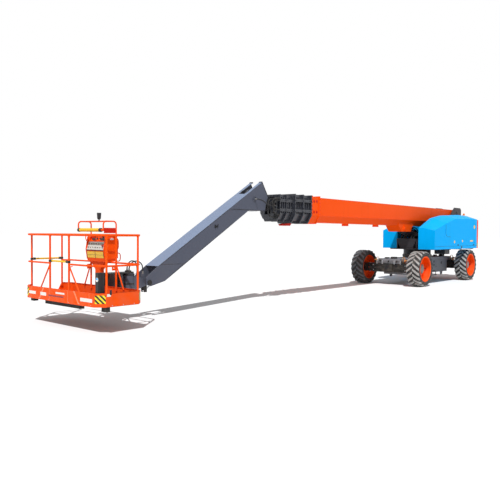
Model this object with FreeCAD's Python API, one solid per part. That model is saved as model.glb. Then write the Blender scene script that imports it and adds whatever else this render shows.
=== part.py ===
import FreeCAD, Part
import math
import os

# Telescopic boom lift with extending axles, a jib and a levelled work basket, in its parking pose.
# Sizes are millimetres.  While a piece is shaped, x = 0 is the slewing axis, -X points to the basket,
# z = 0 is the ground and y = 0 is the middle plane.  "left" is the -Y side, "right" the +Y side.
# write() then slides every piece along X, so the origin lies under the middle of the whole machine.

# running gear
WHEELBASE = 4000.0
TRACK = 2045.0
TYRE_RADIUS = 577.5
TYRE_WIDTH = 444.0
TYRE_SHOULDER = 60.0
RIM_RADIUS = 408.0
RIM_WIDTH = 396.0
RIM_WALL = 12.0
RIM_DISC = 18.0
DISH_DEPTH = 205.0
HUB_RADIUS = 135.0
HUB_LENGTH = 70.0
SPINDLE_RADIUS = 60.0
KINGPIN_INSET = 222.0
KINGPIN_RADIUS = 32.0
KNUCKLE_RADIUS = 68.0
KNUCKLE_HEIGHT = 220.0
MOTOR_RADIUS = 150.0
FORK_PLATE = 30.0
BEAM_HALF_X = 120.0
BEAM_HALF_Z = 130.0
BEAM_WALL = 16.0
BEAM_INNER_Y = 30.0
BEAM_END_Y = 665.0
HOUSING_WALL = 16.0
HOUSING_END_Y = 620.0
PAD_LENGTH = 70.0
SLIDE_GAP = 5.0
PAD_GAP = 0.3
PIN_GAP = 0.1
PLATE_LAP = 1.0
AXLE_TRAVEL = 430.0
STEER_ANGLE = 30.0

# chassis
FRAME_HALF_LENGTH = 1650.0
FRAME_HALF_WIDTH = 450.0
FRAME_BOTTOM = 330.0
FRAME_TOP = 880.0
FRAME_PLATE = 20.0
SADDLE_HALF_WIDTH = 400.0
SADDLE_REACH = 170.0
WELL_HALF_LENGTH = 1000.0
WELL_HALF_WIDTH = 270.0
TIE_X = 1150.0
TIE_DROP = 50.0
TIE_RIM = 32.0
EYE_RADIUS = 30.0
EYE_PLATE = 30.0
RING_RADIUS = 500.0
RING_BORE = 380.0
RING_HEIGHT = 120.0

# turntable
TABLE_BOTTOM = 1180.0
TABLE_PLATE = 30.0
TABLE_FRONT = -880.0
TABLE_REAR = 2620.0
TABLE_HALF_WIDTH = 610.0
TOWER_INNER = 345.0
TOWER_PLATE = 45.0
TOWER_TOP = 2770.0
TOWER_REAR = 3140.0
NOSE_TOP = 1560.0
OUTRIGGERS_LEFT = (-650.0, 200.0, 1200.0, 2400.0)
OUTRIGGERS_RIGHT = (200.0, 1200.0, 2400.0)
OUTRIGGER_REACH = 1150.0
COUNTERWEIGHT_REAR = 3150.0
COUNTERWEIGHT_HALF_WIDTH = 1215.0
COUNTERWEIGHT_TOP = 2280.0
COUNTERWEIGHT_CHAMFER_X = 400.0
COUNTERWEIGHT_CHAMFER_Y = 365.0
TAIL_WELL_HALF = 430.0
TAIL_WELL_FLOOR = 1850.0
ENGINE_LENGTH = 800.0
ENGINE_WIDTH = 430.0
ENGINE_HEIGHT = 560.0
ENGINE_X = 1000.0

# cowls: (x, height of the side's top fold, height of the roof) from front to rear
COWL_OUTER = 1220.0
COWL_ROOF_EDGE = 800.0
COWL_INNER = 640.0
COWL_BOTTOM = 1200.0
COWL_SILL = 100.0
COWL_WALL = 5.0
COWL_REAR = 2612.0
LEFT_COWL = [(-1300.0, 1840.0, 1930.0), (-370.0, 2090.0, 2285.0), (460.0, 2270.0, 2403.0),
             (1700.0, 2300.0, 2455.0), (COWL_REAR, 2300.0, 2440.0)]
RIGHT_COWL = [(-300.0, 1850.0, 1980.0), (100.0, 1960.0, 2120.0), (1000.0, 2250.0, 2400.0),
              (1700.0, 2300.0, 2455.0), (COWL_REAR, 2300.0, 2440.0)]
HOOD_ANGLE = 60.0
HOOD_POST = 12.0
HOOD_HINGE_RADIUS = 9.0
HOOD_BARREL_RADIUS = 18.0
HOOD_BARREL_LENGTH = 120.0

# boom: section outline of the base, and how much smaller each inner section is
PIVOT_X = 2720.0
PIVOT_Z = 2430.0
PIVOT_PIN = 55.0
LUFF_ANGLE = 75.0
BOOM_HALF_WIDTH = 300.0
BOOM_TOP = 2680.0
BOOM_FOLD = 2200.0
BOOM_BOTTOM = 2010.0
BOOM_HALF_BOTTOM = 190.0
BOOM_WALL = 10.0
SECTION_STEP = 25.0
BASE_REAR = 3000.0
BASE_FRONT = -7190.0
COLLAR_LENGTH = 390.0
COLLAR_RISE = 40.0
TELESCOPE_TRAVEL = 8000.0
HEAD_2_FRONT = -7950.0
HEAD_3_FRONT = -8530.0
TUBE_4_FRONT = -8630.0
HEAD_GAP = 10.0
HEAD_PLATE = 30.0
SECTION_TAIL = 2300.0
TAIL_STEP = 150.0
PAD_BAND = 120.0

# lift cylinder
LIFT_BASE = (1300.0, 1440.0)
LIFT_EYE = (-1550.0, 1900.0)
LIFT_BARREL_RADIUS = 105.0
LIFT_ROD_RADIUS = 62.0
LIFT_BARREL_LENGTH = 2480.0
LIFT_PIN = 45.0
LIFT_EYE_RADIUS = 80.0
BRACKET_INNER = 212.0
BRACKET_PLATE = 30.0
BRACKET_SKIRT = 100.0
BRACKET_TOP = 420.0
BRACKET_FOOT = 200.0
BRACKET_BOSS = 22.0

# boom tip, jib and jib cylinder
JIB_PIVOT = (-9400.0, 2520.0)
JIB_PIN = 45.0
TIP_INNER = 70.0
TIP_OUTER = 95.0
TIP_NOSE_RADIUS = 235.0
TIP_ARM_LOW = 2415.0
TIP_ARM_HIGH = 2590.0
TIP_WINDOW_LOW = 2180.0
JIB_UP = 105.0
JIB_DOWN = 7.0
JIB_LENGTH = 3660.0
JIB_HEAD = 350.0
JIB_DROP = 1811.4
JIB_HALF_WIDTH = 200.0
JIB_TOP = 217.0
JIB_BOTTOM = -140.0
JIB_WALL = 8.0
JIB_CHEEK = 16.0
JIB_SLOT = 103.0
JIB_COVER_START = 135.0
JIB_TAIL = 470.0
JIB_BOX_END = JIB_LENGTH - JIB_HEAD
JIB_TAIL_FLOOR = 2250.0
JIB_FLOOR_SHORT = 640.0
JIB_CYL_BASE = (-7500.0, 2345.0)
JIB_CYL_EYE = (-9040.0, 2312.0)
JIB_BARREL_RADIUS = 50.0
JIB_BARREL_LENGTH = 1300.0
JIB_ROD_RADIUS = 30.0
JIB_EYE_RADIUS = 38.0
JIB_EYE_HALF = 44.0

# platform levelling and rotation
LEVEL_N = 60.0
JIB_ANGLE = math.degrees(math.asin(JIB_DROP / math.hypot(JIB_LENGTH, LEVEL_N))
                         + math.atan2(LEVEL_N, JIB_LENGTH))
LEVEL_PIN_X = JIB_PIVOT[0] - math.sqrt(JIB_LENGTH ** 2 + LEVEL_N ** 2 - JIB_DROP ** 2)
LEVEL_PIN = 30.0
LEVEL_BOSS = 58.0
LEVEL_BOSS_HALF = 60.0
LEVEL_LEVER = (30.0, -178.0)
LEVEL_BARREL_RADIUS = 42.0
LEVEL_BARREL_LENGTH = 560.0
LEVEL_ROD_RADIUS = 20.0
LEVEL_EYE_HALF = 26.0
LEVEL_CYL_LENGTH = 860.0
LEVEL_CYL_RISE = 34.0
MOUNT_EAR_INNER = 70.0
MOUNT_EAR_OUTER = 110.0
ROTATOR_REACH = 369.0
ROTATOR_X = LEVEL_PIN_X - ROTATOR_REACH
ROTATOR_RADIUS = 120.0
ROTATOR_LOW = 520.0
ROTATOR_HIGH = 900.0
ROTATOR_SHAFT = 50.0
YOKE_PLATE = 25.0
YOKE_HALF_WIDTH = 110.0
CAP_RADIUS = 65.0
CAP_HEIGHT = 25.0

# hoses and the plates and blocks that they leave from
HOSE_RADIUS = 12.0
HOSE_ARC_SHARE = 0.45
BULKHEAD_Y = 295.0
BULKHEAD_LOW = 2200.0
BULKHEAD_HIGH = 2510.0
SWIVEL_END = 240.0
ARCH_START_X = LEVEL_PIN_X - 80.0
ARCH_START_Z = 880.0
ARCH_START_Y = 90.0
ARCH_END_Y = 34.0

# basket
BASKET_STANDOFF = 550.0
BASKET_DEPTH = 960.0
BASKET_INNER_X = ROTATOR_X - BASKET_STANDOFF
BASKET_OUTER_X = BASKET_INNER_X - BASKET_DEPTH
BASKET_HALF_WIDTH = 1235.0
BASKET_CHAMFER = 150.0
BASKET_BOTTOM = 460.0
FLOOR_FRAME = 40.0
FLOOR_PLATE = 5.0
TOE_TOP = 690.0
TOE_WALL = 4.0
TOE_DIP = 130.0
TOE_DIP_SLOPE = 70.0
RAIL_RADIUS = 20.0
MID_RAIL_RADIUS = 16.0
RAIL_BEND = 75.0
JOINT_GAP = 0.3
MID_RAIL_Z = 1140.0
TOP_RAIL_Z = 1650.0
POST_RADIUS = 18.0
GATE_HALF = 310.0
GATE_TRAVEL = 400.0
GATE_BAR_RADIUS = 17.0
GATE_SLEEVE_WALL = 4.0
GATE_SLEEVE_HALF = 20.0
SLEEVE_GAP = 0.3
REAR_POST_Y = 400.0
BRACE_RADIUS = 13.0
BUMPER_HEIGHT = 80.0
BUMPER_WIDTH = 90.0
CONSOLE_OUTER_X = BASKET_INNER_X - 210.0
CONSOLE_INNER_X = BASKET_INNER_X + 100.0
CONSOLE_HALF = 290.0
GUARD_X = BASKET_INNER_X - 300.0
GUARD_TOP = 1900.0
GUARD_PAD_Z = 1740.0
GUARD_RADIUS = 13.0
GUARD_BEND = 60.0
PEDESTAL_HALF = 75.0
LANYARD_HOLE = 12.0
LANYARD_PLATE = 10.0

# everything is written this far along +X from where it is shaped
ORIGIN_SHIFT = -(BASKET_OUTER_X + COUNTERWEIGHT_REAR) / 2.0

V = FreeCAD.Vector
AXIS_Y = V(0, 1, 0)


# ---------------------------------------------------------------- shapes
def box(x0, x1, y0, y1, z0, z1):
    return Part.makeBox(x1 - x0, y1 - y0, z1 - z0, V(x0, y0, z0))


def side_plate(outline, y0, y1):
    """A flat plate with an (x, z) outline, between two y values."""
    points = [V(x, y0, z) for x, z in outline]
    return Part.Face(Part.makePolygon(points + points[:1])).extrude(V(0, y1 - y0, 0))


def cross_plate(outline, x0, x1):
    """A prism with a (y, z) outline, between two x values."""
    points = [V(x0, y, z) for y, z in outline]
    return Part.Face(Part.makePolygon(points + points[:1])).extrude(V(x1 - x0, 0, 0))


def flat_plate(outline, z0, z1):
    """A prism with an (x, y) outline, between two heights."""
    points = [V(x, y, z0) for x, y in outline]
    return Part.Face(Part.makePolygon(points + points[:1])).extrude(V(0, 0, z1 - z0))


def rod(start, end, radius):
    along = V(*end) - V(*start)
    return Part.makeCylinder(radius, along.Length, V(*start), along)


def pin_y(place, radius, y0, y1):
    """A cylinder along Y at an (x, z) place."""
    return Part.makeCylinder(radius, y1 - y0, V(place[0], y0, place[1]), AXIS_Y)


def bent_path(points, bend):
    """A wire of straight runs and tangent arcs through the points' corners."""
    corners = [V(*p) for p in points]
    edges = []
    start = corners[0]
    for a, b, c in zip(corners, corners[1:], corners[2:]):
        before = (b - a).normalize()
        after = (c - b).normalize()
        half_turn = before.getAngle(after) / 2
        first = b - before * (bend * math.tan(half_turn))
        last = b + after * (bend * math.tan(half_turn))
        inward = (after - before).normalize()
        middle = b + inward * (bend / math.cos(half_turn) - bend)
        edges += [Part.LineSegment(start, first).toShape(), Part.Arc(first, middle, last).toShape()]
        start = last
    edges.append(Part.LineSegment(start, corners[-1]).toShape())
    return Part.Wire(edges)


def bent_bar(points, radius, bend):
    """A round bar swept along the bent path."""
    path = bent_path(points, bend)
    along = V(*points[1]) - V(*points[0])
    section = Part.Wire(Part.makeCircle(radius, V(*points[0]), along))
    return path.makePipeShell([section], True, True)


def join(shapes):
    return shapes[0] if len(shapes) == 1 else shapes[0].multiFuse(shapes[1:]).removeSplitter()


def both_sides(shape):
    return [shape, shape.mirror(V(0, 0, 0), AXIS_Y)]


def on_side(shape, side):
    """The -Y piece itself, or its mirror image for the +Y side."""
    return shape if side < 0 else shape.mirror(V(0, 0, 0), AXIS_Y)


def inset(outline, depth):
    """A convex outline moved inwards by depth, with the same number of corners."""
    count = len(outline)
    area = sum(outline[i][0] * outline[(i + 1) % count][1] - outline[(i + 1) % count][0] * outline[i][1]
               for i in range(count))
    turn = 1.0 if area > 0 else -1.0
    lines = []
    for i in range(count):
        (ax, ay), (bx, by) = outline[i], outline[(i + 1) % count]
        length = math.hypot(bx - ax, by - ay)
        nx, ny = -turn * (by - ay) / length, turn * (bx - ax) / length
        lines.append((nx, ny, nx * ax + ny * ay + depth))
    corners = []
    for i in range(count):
        a, b = lines[i - 1], lines[i]
        det = a[0] * b[1] - a[1] * b[0]
        corners.append(((a[2] * b[1] - a[1] * b[2]) / det, (a[0] * b[2] - a[2] * b[0]) / det))
    return corners


def write(name, shape):
    solids = shape.Solids
    result = solids[0] if len(solids) == 1 else Part.makeCompound(solids)
    result = result.copy()
    result.translate(V(ORIGIN_SHIFT, 0, 0))
    result.exportStep("parts/" + name + ".step")


# ---------------------------------------------------------------- running gear
def spin_profile(points, x):
    """A solid turned about the wheel's axis: points are (y, radius)."""
    ring = [V(x, y, TYRE_RADIUS + r) for y, r in points]
    face = Part.Face(Part.makePolygon(ring + ring[:1]))
    return face.revolve(V(x, 0, TYRE_RADIUS), AXIS_Y, 360)


def tyre(x, side):
    centre = -TRACK / 2
    half = TYRE_WIDTH / 2
    bead = RIM_RADIUS + PAD_GAP
    shoulder, crown = TYRE_RADIUS - TYRE_SHOULDER, half - TYRE_SHOULDER * 0.6
    outline = [(centre - half + 25, bead), (centre - half, bead + 60), (centre - half, shoulder),
               (centre - crown, TYRE_RADIUS), (centre + crown, TYRE_RADIUS),
               (centre + half, shoulder), (centre + half, bead + 60), (centre + half - 25, bead)]
    return on_side(spin_profile(outline, x), side)


def disc_faces():
    """The rim disc's outboard and inboard y on the -Y side."""
    outboard = -TRACK / 2 - TYRE_WIDTH / 2 + DISH_DEPTH
    return outboard, outboard + RIM_DISC


def rim(x, side):
    centre = -TRACK / 2
    outboard, inboard = disc_faces()
    near, far, inside = centre - RIM_WIDTH / 2, centre + RIM_WIDTH / 2, RIM_RADIUS - RIM_WALL
    barrel = spin_profile([(near, inside), (near, RIM_RADIUS), (far, RIM_RADIUS), (far, inside)], x)
    disc = spin_profile([(outboard, 0.0), (outboard, RIM_RADIUS - RIM_WALL / 2),
                         (inboard, RIM_RADIUS - RIM_WALL / 2), (inboard, 0.0)], x)
    hub = rod((x, outboard - HUB_LENGTH, TYRE_RADIUS), (x, outboard, TYRE_RADIUS), HUB_RADIUS)
    bore = rod((x, outboard - HUB_LENGTH / 2, TYRE_RADIUS), (x, inboard, TYRE_RADIUS),
               SPINDLE_RADIUS + PIN_GAP)
    return on_side(join([barrel, disc, hub]).cut(bore), side)


def kingpin_y():
    return -(TRACK / 2 - KINGPIN_INSET)


def knuckle(x, side):
    y = kingpin_y()
    outboard, inboard = disc_faces()
    low = TYRE_RADIUS - KNUCKLE_HEIGHT / 2
    barrel = Part.makeCylinder(KNUCKLE_RADIUS, KNUCKLE_HEIGHT, V(x, y, low))
    motor_start = y - KNUCKLE_RADIUS - 3 * SLIDE_GAP
    neck = box(x - 55, x + 55, motor_start - 5, y, TYRE_RADIUS - 85, TYRE_RADIUS + 85)
    motor = rod((x, motor_start, TYRE_RADIUS), (x, inboard + SLIDE_GAP, TYRE_RADIUS), MOTOR_RADIUS)
    spindle = rod((x, motor_start, TYRE_RADIUS), (x, outboard - HUB_LENGTH / 2 + SLIDE_GAP, TYRE_RADIUS),
                  SPINDLE_RADIUS)
    bore = Part.makeCylinder(KINGPIN_RADIUS + PIN_GAP, KNUCKLE_HEIGHT, V(x, y, low))
    return on_side(join([barrel, neck, motor, spindle]).cut(bore), side)


def beam_tube(x, y0, y1, half_x, half_z, wall):
    outer = box(x - half_x, x + half_x, y0, y1, TYRE_RADIUS - half_z, TYRE_RADIUS + half_z)
    inner = box(x - half_x + wall, x + half_x - wall, y0, y1, TYRE_RADIUS - half_z + wall,
                TYRE_RADIUS + half_z - wall)
    return outer.cut(inner)


def axle_beam(x, side):
    y = kingpin_y()
    tube = beam_tube(x, -BEAM_END_Y, -BEAM_INNER_Y, BEAM_HALF_X, BEAM_HALF_Z, BEAM_WALL)
    grow = SLIDE_GAP - PAD_GAP
    pads = beam_tube(x, -BEAM_INNER_Y - PAD_LENGTH, -BEAM_INNER_Y, BEAM_HALF_X + grow, BEAM_HALF_Z + grow,
                     BEAM_WALL)
    fork_half = KNUCKLE_HEIGHT / 2 + SLIDE_GAP
    end_half = fork_half + FORK_PLATE
    end_plate = box(x - BEAM_HALF_X, x + BEAM_HALF_X, -BEAM_END_Y - 25, -BEAM_END_Y,
                    TYRE_RADIUS - end_half, TYRE_RADIUS + end_half)
    pieces = [tube, pads, end_plate]
    for low in (TYRE_RADIUS + fork_half, TYRE_RADIUS - end_half):
        pieces.append(box(x - KNUCKLE_RADIUS, x + KNUCKLE_RADIUS, y, -BEAM_END_Y, low, low + FORK_PLATE))
        pieces.append(Part.makeCylinder(KNUCKLE_RADIUS, FORK_PLATE, V(x, y, low)))
    pieces.append(Part.makeCylinder(KINGPIN_RADIUS, 2 * end_half, V(x, y, TYRE_RADIUS - end_half)))
    return on_side(join(pieces), side)


def axle_housing(x):
    half_x = BEAM_HALF_X + SLIDE_GAP + HOUSING_WALL
    half_z = BEAM_HALF_Z + SLIDE_GAP + HOUSING_WALL
    tube = beam_tube(x, -HOUSING_END_Y, HOUSING_END_Y, half_x, half_z, HOUSING_WALL)
    mouth = beam_tube(x, -HOUSING_END_Y, -HOUSING_END_Y + PAD_LENGTH, half_x + 12, half_z,
                      HOUSING_WALL + 12 + SLIDE_GAP - PAD_GAP)
    mouth = mouth.cut(box(x - BEAM_HALF_X - PAD_GAP, x + BEAM_HALF_X + PAD_GAP, -HOUSING_END_Y, 0,
                          TYRE_RADIUS - BEAM_HALF_Z - PAD_GAP, TYRE_RADIUS + BEAM_HALF_Z + PAD_GAP))
    lip_z = HOUSING_WALL + SLIDE_GAP - PAD_GAP
    lips = beam_tube(x, -HOUSING_END_Y, -HOUSING_END_Y + PAD_LENGTH, BEAM_HALF_X + PAD_GAP + lip_z,
                     BEAM_HALF_Z + PAD_GAP + lip_z, lip_z)
    return join([tube] + both_sides(join([mouth, lips])))


# ---------------------------------------------------------------- chassis
def housing_top():
    return TYRE_RADIUS + BEAM_HALF_Z + SLIDE_GAP + HOUSING_WALL


def tie_eye(x, y):
    """An eye plate hanging under a side plate of the frame, clear of the wheels, with a cross bore."""
    low = FRAME_BOTTOM - TIE_DROP - EYE_RADIUS - TIE_RIM
    half = EYE_RADIUS + TIE_RIM
    plate = side_plate([(x - half - 30, FRAME_BOTTOM + PLATE_LAP), (x - half, low), (x + half, low),
                        (x + half + 30, FRAME_BOTTOM + PLATE_LAP)], y, y + EYE_PLATE)
    return plate.cut(pin_y((x, FRAME_BOTTOM - TIE_DROP), EYE_RADIUS, y, y + EYE_PLATE))


def chassis_frame():
    length, width, plate = FRAME_HALF_LENGTH, FRAME_HALF_WIDTH, FRAME_PLATE
    outer = box(-length, length, -width, width, FRAME_BOTTOM, FRAME_TOP)
    inner = box(-length + plate, length - plate, -width + plate, width - plate, FRAME_BOTTOM + plate,
                FRAME_TOP - plate)
    well = box(-WELL_HALF_LENGTH, WELL_HALF_LENGTH, -WELL_HALF_WIDTH, WELL_HALF_WIDTH, FRAME_BOTTOM - 1,
               FRAME_BOTTOM + plate + 1)
    pieces = [outer.cut(inner).cut(well)]
    reach = WHEELBASE / 2 + SADDLE_REACH
    saddle = box(length, reach, -SADDLE_HALF_WIDTH, SADDLE_HALF_WIDTH, housing_top(), FRAME_TOP)
    hollow = box(length - 1, reach - plate, -SADDLE_HALF_WIDTH + plate, SADDLE_HALF_WIDTH - plate,
                 housing_top() + plate, FRAME_TOP - plate)
    saddle = saddle.cut(hollow)
    eyes = [tie_eye(TIE_X, y) for y in (-width, width - EYE_PLATE)]
    for piece in [saddle] + eyes:
        pieces.append(piece)
        pieces.append(piece.mirror(V(0, 0, 0), V(1, 0, 0)))
    return join(pieces)


def ring(radius, bore, z0, z1):
    return Part.makeCylinder(radius, z1 - z0, V(0, 0, z0)).cut(Part.makeCylinder(bore, z1 - z0, V(0, 0, z0)))


def slewing_ring():
    return ring(RING_RADIUS, RING_BORE, FRAME_TOP, FRAME_TOP + RING_HEIGHT)


# ---------------------------------------------------------------- turntable
def tower_outline():
    return [(TABLE_FRONT + 40, TABLE_BOTTOM), (TABLE_FRONT + 40, NOSE_TOP), (250, NOSE_TOP + 20), (1350, 1820),
            (PIVOT_X - 300, TOWER_TOP - 60), (PIVOT_X - 220, TOWER_TOP), (TOWER_REAR - 90, TOWER_TOP),
            (TOWER_REAR, TOWER_TOP - 90), (TOWER_REAR, TAIL_WELL_FLOOR + 10),
            (TABLE_REAR - 20, TAIL_WELL_FLOOR + 10), (TABLE_REAR - 20, TABLE_BOTTOM)]


def turntable_frame():
    top = TABLE_BOTTOM + TABLE_PLATE
    low_ring = FRAME_TOP + RING_HEIGHT + PAD_GAP
    pieces = [ring(RING_RADIUS - 20, RING_BORE + 20, low_ring, TABLE_BOTTOM),
              box(TABLE_FRONT, TABLE_REAR, -TABLE_HALF_WIDTH, TABLE_HALF_WIDTH, TABLE_BOTTOM, top)]
    half = TOWER_INNER + TOWER_PLATE
    pieces += both_sides(side_plate(tower_outline(), TOWER_INNER, half))
    pieces += both_sides(pin_y((PIVOT_X, PIVOT_Z), 120, half, half + 25))
    for side, places in ((-1, OUTRIGGERS_LEFT), (1, OUTRIGGERS_RIGHT)):
        y0, y1 = sorted((side * (TABLE_HALF_WIDTH - 1), side * OUTRIGGER_REACH))
        for x in places:
            pieces.append(box(x - 60, x + 60, y0, y1, TABLE_BOTTOM - 10, COWL_BOTTOM - JOINT_GAP))
    pieces.append(cross_plate([(-225, top), (225, top), (half, NOSE_TOP), (-half, NOSE_TOP)],
                              TABLE_FRONT, TABLE_FRONT + 40))
    pieces.append(box(TABLE_REAR - 60, TABLE_REAR - 20, -TOWER_INNER, TOWER_INNER, top, TAIL_WELL_FLOOR))
    pieces.append(pin_y((PIVOT_X, PIVOT_Z), PIVOT_PIN, -TOWER_INNER, TOWER_INNER))
    x, z = LIFT_BASE
    lug = [(x - 190, top), (x - 90, z + 95), (x + 90, z + 95), (x + 190, top)]
    pieces += both_sides(side_plate(lug, LIFT_BARREL_RADIUS + 20, LIFT_BARREL_RADIUS + 60))
    pieces.append(pin_y(LIFT_BASE, LIFT_PIN, -LIFT_BARREL_RADIUS - 20, LIFT_BARREL_RADIUS + 20))
    return join(pieces)


def counterweight():
    rear, half = COUNTERWEIGHT_REAR, COUNTERWEIGHT_HALF_WIDTH
    cut_x, cut_y = COUNTERWEIGHT_CHAMFER_X, COUNTERWEIGHT_CHAMFER_Y
    plan = [(TABLE_REAR, -half), (rear - cut_x, -half), (rear, -half + cut_y), (rear, half - cut_y),
            (rear - cut_x, half), (TABLE_REAR, half)]
    block = flat_plate(plan, COWL_BOTTOM, COUNTERWEIGHT_TOP)
    well = box(TABLE_REAR - 1, rear + 1, -TAIL_WELL_HALF, TAIL_WELL_HALF, TAIL_WELL_FLOOR,
               COUNTERWEIGHT_TOP + 1)
    return block.cut(well)


def engine_block():
    floor = COWL_BOTTOM + COWL_WALL
    return box(ENGINE_X, ENGINE_X + ENGINE_LENGTH, COWL_INNER + 60, COWL_INNER + 60 + ENGINE_WIDTH, floor,
               floor + ENGINE_HEIGHT)


# ---------------------------------------------------------------- cowls, shaped on the +Y side
def cowl_heights(stations, x):
    for (xa, fold_a, roof_a), (xb, fold_b, roof_b) in zip(stations, stations[1:]):
        if x <= xb:
            share = (x - xa) / (xb - xa)
            return fold_a + share * (fold_b - fold_a), roof_a + share * (roof_b - roof_a)
    return stations[-1][1:]


def cowl_body(stations, x0, x1, depth, bottom, inner):
    """The closed volume of the cowl between two x values, with its skin moved inwards by depth."""
    cuts = [x0] + [s[0] for s in stations if x0 < s[0] < x1] + [x1]
    wires = []
    for x in cuts:
        fold, roof = cowl_heights(stations, x)
        outline = [(COWL_OUTER - depth, bottom), (COWL_OUTER - depth, fold - 0.4 * depth),
                   (COWL_ROOF_EDGE - 0.2 * depth, roof - depth), (inner, roof - depth), (inner, bottom)]
        points = [V(x, y, z) for y, z in outline]
        wires.append(Part.makePolygon(points + points[:1]))
    return Part.makeLoft(wires, True, True)


def cowl_base(stations, seam):
    """The fixed part: sill tray, inner bulkhead, closed front module and the rods that carry the hood."""
    front = stations[0][0]
    wall = COWL_WALL
    sill = COWL_BOTTOM + COWL_SILL
    tray = box(front, COWL_REAR, COWL_INNER, COWL_OUTER, COWL_BOTTOM, sill)
    tray = tray.cut(box(front + wall, COWL_REAR - wall, COWL_INNER + wall, COWL_OUTER - wall,
                        COWL_BOTTOM + wall, sill + 1))
    module = cowl_body(stations, front, seam, 0.0, COWL_BOTTOM, COWL_INNER)
    module = module.cut(cowl_body(stations, front + wall, seam - wall, wall, COWL_BOTTOM + wall,
                                  COWL_INNER + wall))
    height = hood_hinge_z(stations)
    bulkhead = cowl_body(stations, seam - wall, COWL_REAR, wall + SLIDE_GAP, COWL_BOTTOM, COWL_INNER)
    bulkhead = bulkhead.common(box(front, COWL_REAR, COWL_INNER, COWL_INNER + wall, COWL_BOTTOM,
                                   height - HOOD_BARREL_RADIUS - 5 * SLIDE_GAP))
    pieces = [tray, module, bulkhead]
    for x in hood_hinge_places(seam):
        low = height - HOOD_BARREL_RADIUS - 6 * SLIDE_GAP - 60
        inner_end = HOOD_BARREL_LENGTH / 2 + SLIDE_GAP
        outer_end = inner_end + HOOD_POST
        post = box(x - outer_end, x - inner_end, COWL_INNER + COWL_WALL - PLATE_LAP,
                   COWL_INNER + 2 * HOOD_BARREL_RADIUS, low, height + HOOD_HINGE_RADIUS)
        other = post.copy()
        other.translate(V(inner_end + outer_end, 0, 0))
        pin = Part.makeCylinder(HOOD_HINGE_RADIUS, 2 * outer_end,
                                V(x - outer_end, COWL_INNER + HOOD_BARREL_RADIUS, height), V(1, 0, 0))
        pieces += [post, other, pin]
    return join(pieces)


def hood_hinge_z(stations):
    return stations[-1][2] - COWL_WALL - HOOD_BARREL_RADIUS - 2 * SLIDE_GAP


def hood_hinge_places(seam):
    return [seam + 0.55 * (COWL_REAR - seam), seam + 0.9 * (COWL_REAR - seam)]


def hood(stations, seam):
    """The lid: outer side, roof and rear end, hung on barrels along its inner top edge."""
    wall = COWL_WALL
    start = seam + SLIDE_GAP
    bottom = COWL_BOTTOM + COWL_SILL + SLIDE_GAP
    inner = COWL_INNER
    skin = cowl_body(stations, start, COWL_REAR, 0.0, bottom, inner)
    skin = skin.cut(cowl_body(stations, start - 1, COWL_REAR - wall, wall, bottom - 1, inner - 1))
    skin = skin.cut(box(COWL_REAR - 2 * wall, COWL_REAR + 1, inner - 1, inner + 3 * HOOD_BARREL_RADIUS,
                        bottom - 1, stations[-1][2] - 60))
    height = hood_hinge_z(stations)
    pieces = [skin]
    for x in hood_hinge_places(seam):
        x0, x1 = x - HOOD_BARREL_LENGTH / 2, x + HOOD_BARREL_LENGTH / 2
        y = COWL_INNER + HOOD_BARREL_RADIUS
        web = box(x0, x1, y - 6, y + 6, height, cowl_heights(stations, x0)[1] - wall / 2)
        barrel = Part.makeCylinder(HOOD_BARREL_RADIUS, HOOD_BARREL_LENGTH, V(x0, y, height), V(1, 0, 0))
        pieces += [web, barrel]
    result = join(pieces)
    for x in hood_hinge_places(seam):
        x0 = x - HOOD_BARREL_LENGTH / 2
        result = result.cut(Part.makeCylinder(HOOD_HINGE_RADIUS + PIN_GAP, HOOD_BARREL_LENGTH,
                                              V(x0, COWL_INNER + HOOD_BARREL_RADIUS, height), V(1, 0, 0)))
    return result


# ---------------------------------------------------------------- cylinders
def toward(base, tip):
    length = math.hypot(tip[0] - base[0], tip[1] - base[1])
    return (tip[0] - base[0]) / length, (tip[1] - base[1]) / length, length


def cylinder_barrel(base, tip, length, radius, rod_radius, eye, pin, eye_half):
    """An open-mouthed barrel from its base eye towards tip, in the middle plane."""
    ux, uz, _ = toward(base, tip)
    end = (base[0] + ux * length, 0, base[1] + uz * length)
    start = (base[0] + ux * eye * 0.6, 0, base[1] + uz * eye * 0.6)
    floor = (base[0] + ux * eye * 1.6, 0, base[1] + uz * eye * 1.6)
    gland = (base[0] + ux * (length - 60), 0, base[1] + uz * (length - 60))
    pieces = [rod(start, end, radius), rod(gland, end, radius + 12), pin_y(base, eye, -eye_half, eye_half)]
    body = join(pieces).cut(rod(floor, gland, radius - 12))
    body = body.cut(rod(floor, end, rod_radius + PIN_GAP))
    return body.cut(pin_y(base, pin + PIN_GAP, -eye_half, eye_half))


def cylinder_rod(base, tip, barrel_length, radius, piston_radius, eye, eye_half, keep):
    """A rod with its piston keep behind the gland, and a solid eye at its outer end."""
    ux, uz, _ = toward(base, tip)
    tail = (base[0] + ux * (barrel_length - keep), 0, base[1] + uz * (barrel_length - keep))
    head = (base[0] + ux * (barrel_length - keep + 50), 0, base[1] + uz * (barrel_length - keep + 50))
    return join([rod(tail, (tip[0], 0, tip[1]), radius), rod(tail, head, piston_radius),
                 pin_y(tip, eye, -eye_half, eye_half)])


def lift_cylinder_barrel():
    return cylinder_barrel(LIFT_BASE, LIFT_EYE, LIFT_BARREL_LENGTH, LIFT_BARREL_RADIUS, LIFT_ROD_RADIUS, 90.0,
                           LIFT_PIN, LIFT_BARREL_RADIUS + 15)


def lift_cylinder_rod():
    return cylinder_rod(LIFT_BASE, LIFT_EYE, LIFT_BARREL_LENGTH, LIFT_ROD_RADIUS,
                        LIFT_BARREL_RADIUS - 12 - PAD_GAP, LIFT_EYE_RADIUS,
                        BRACKET_INNER - SLIDE_GAP - 2, LIFT_BARREL_LENGTH - 190)


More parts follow.
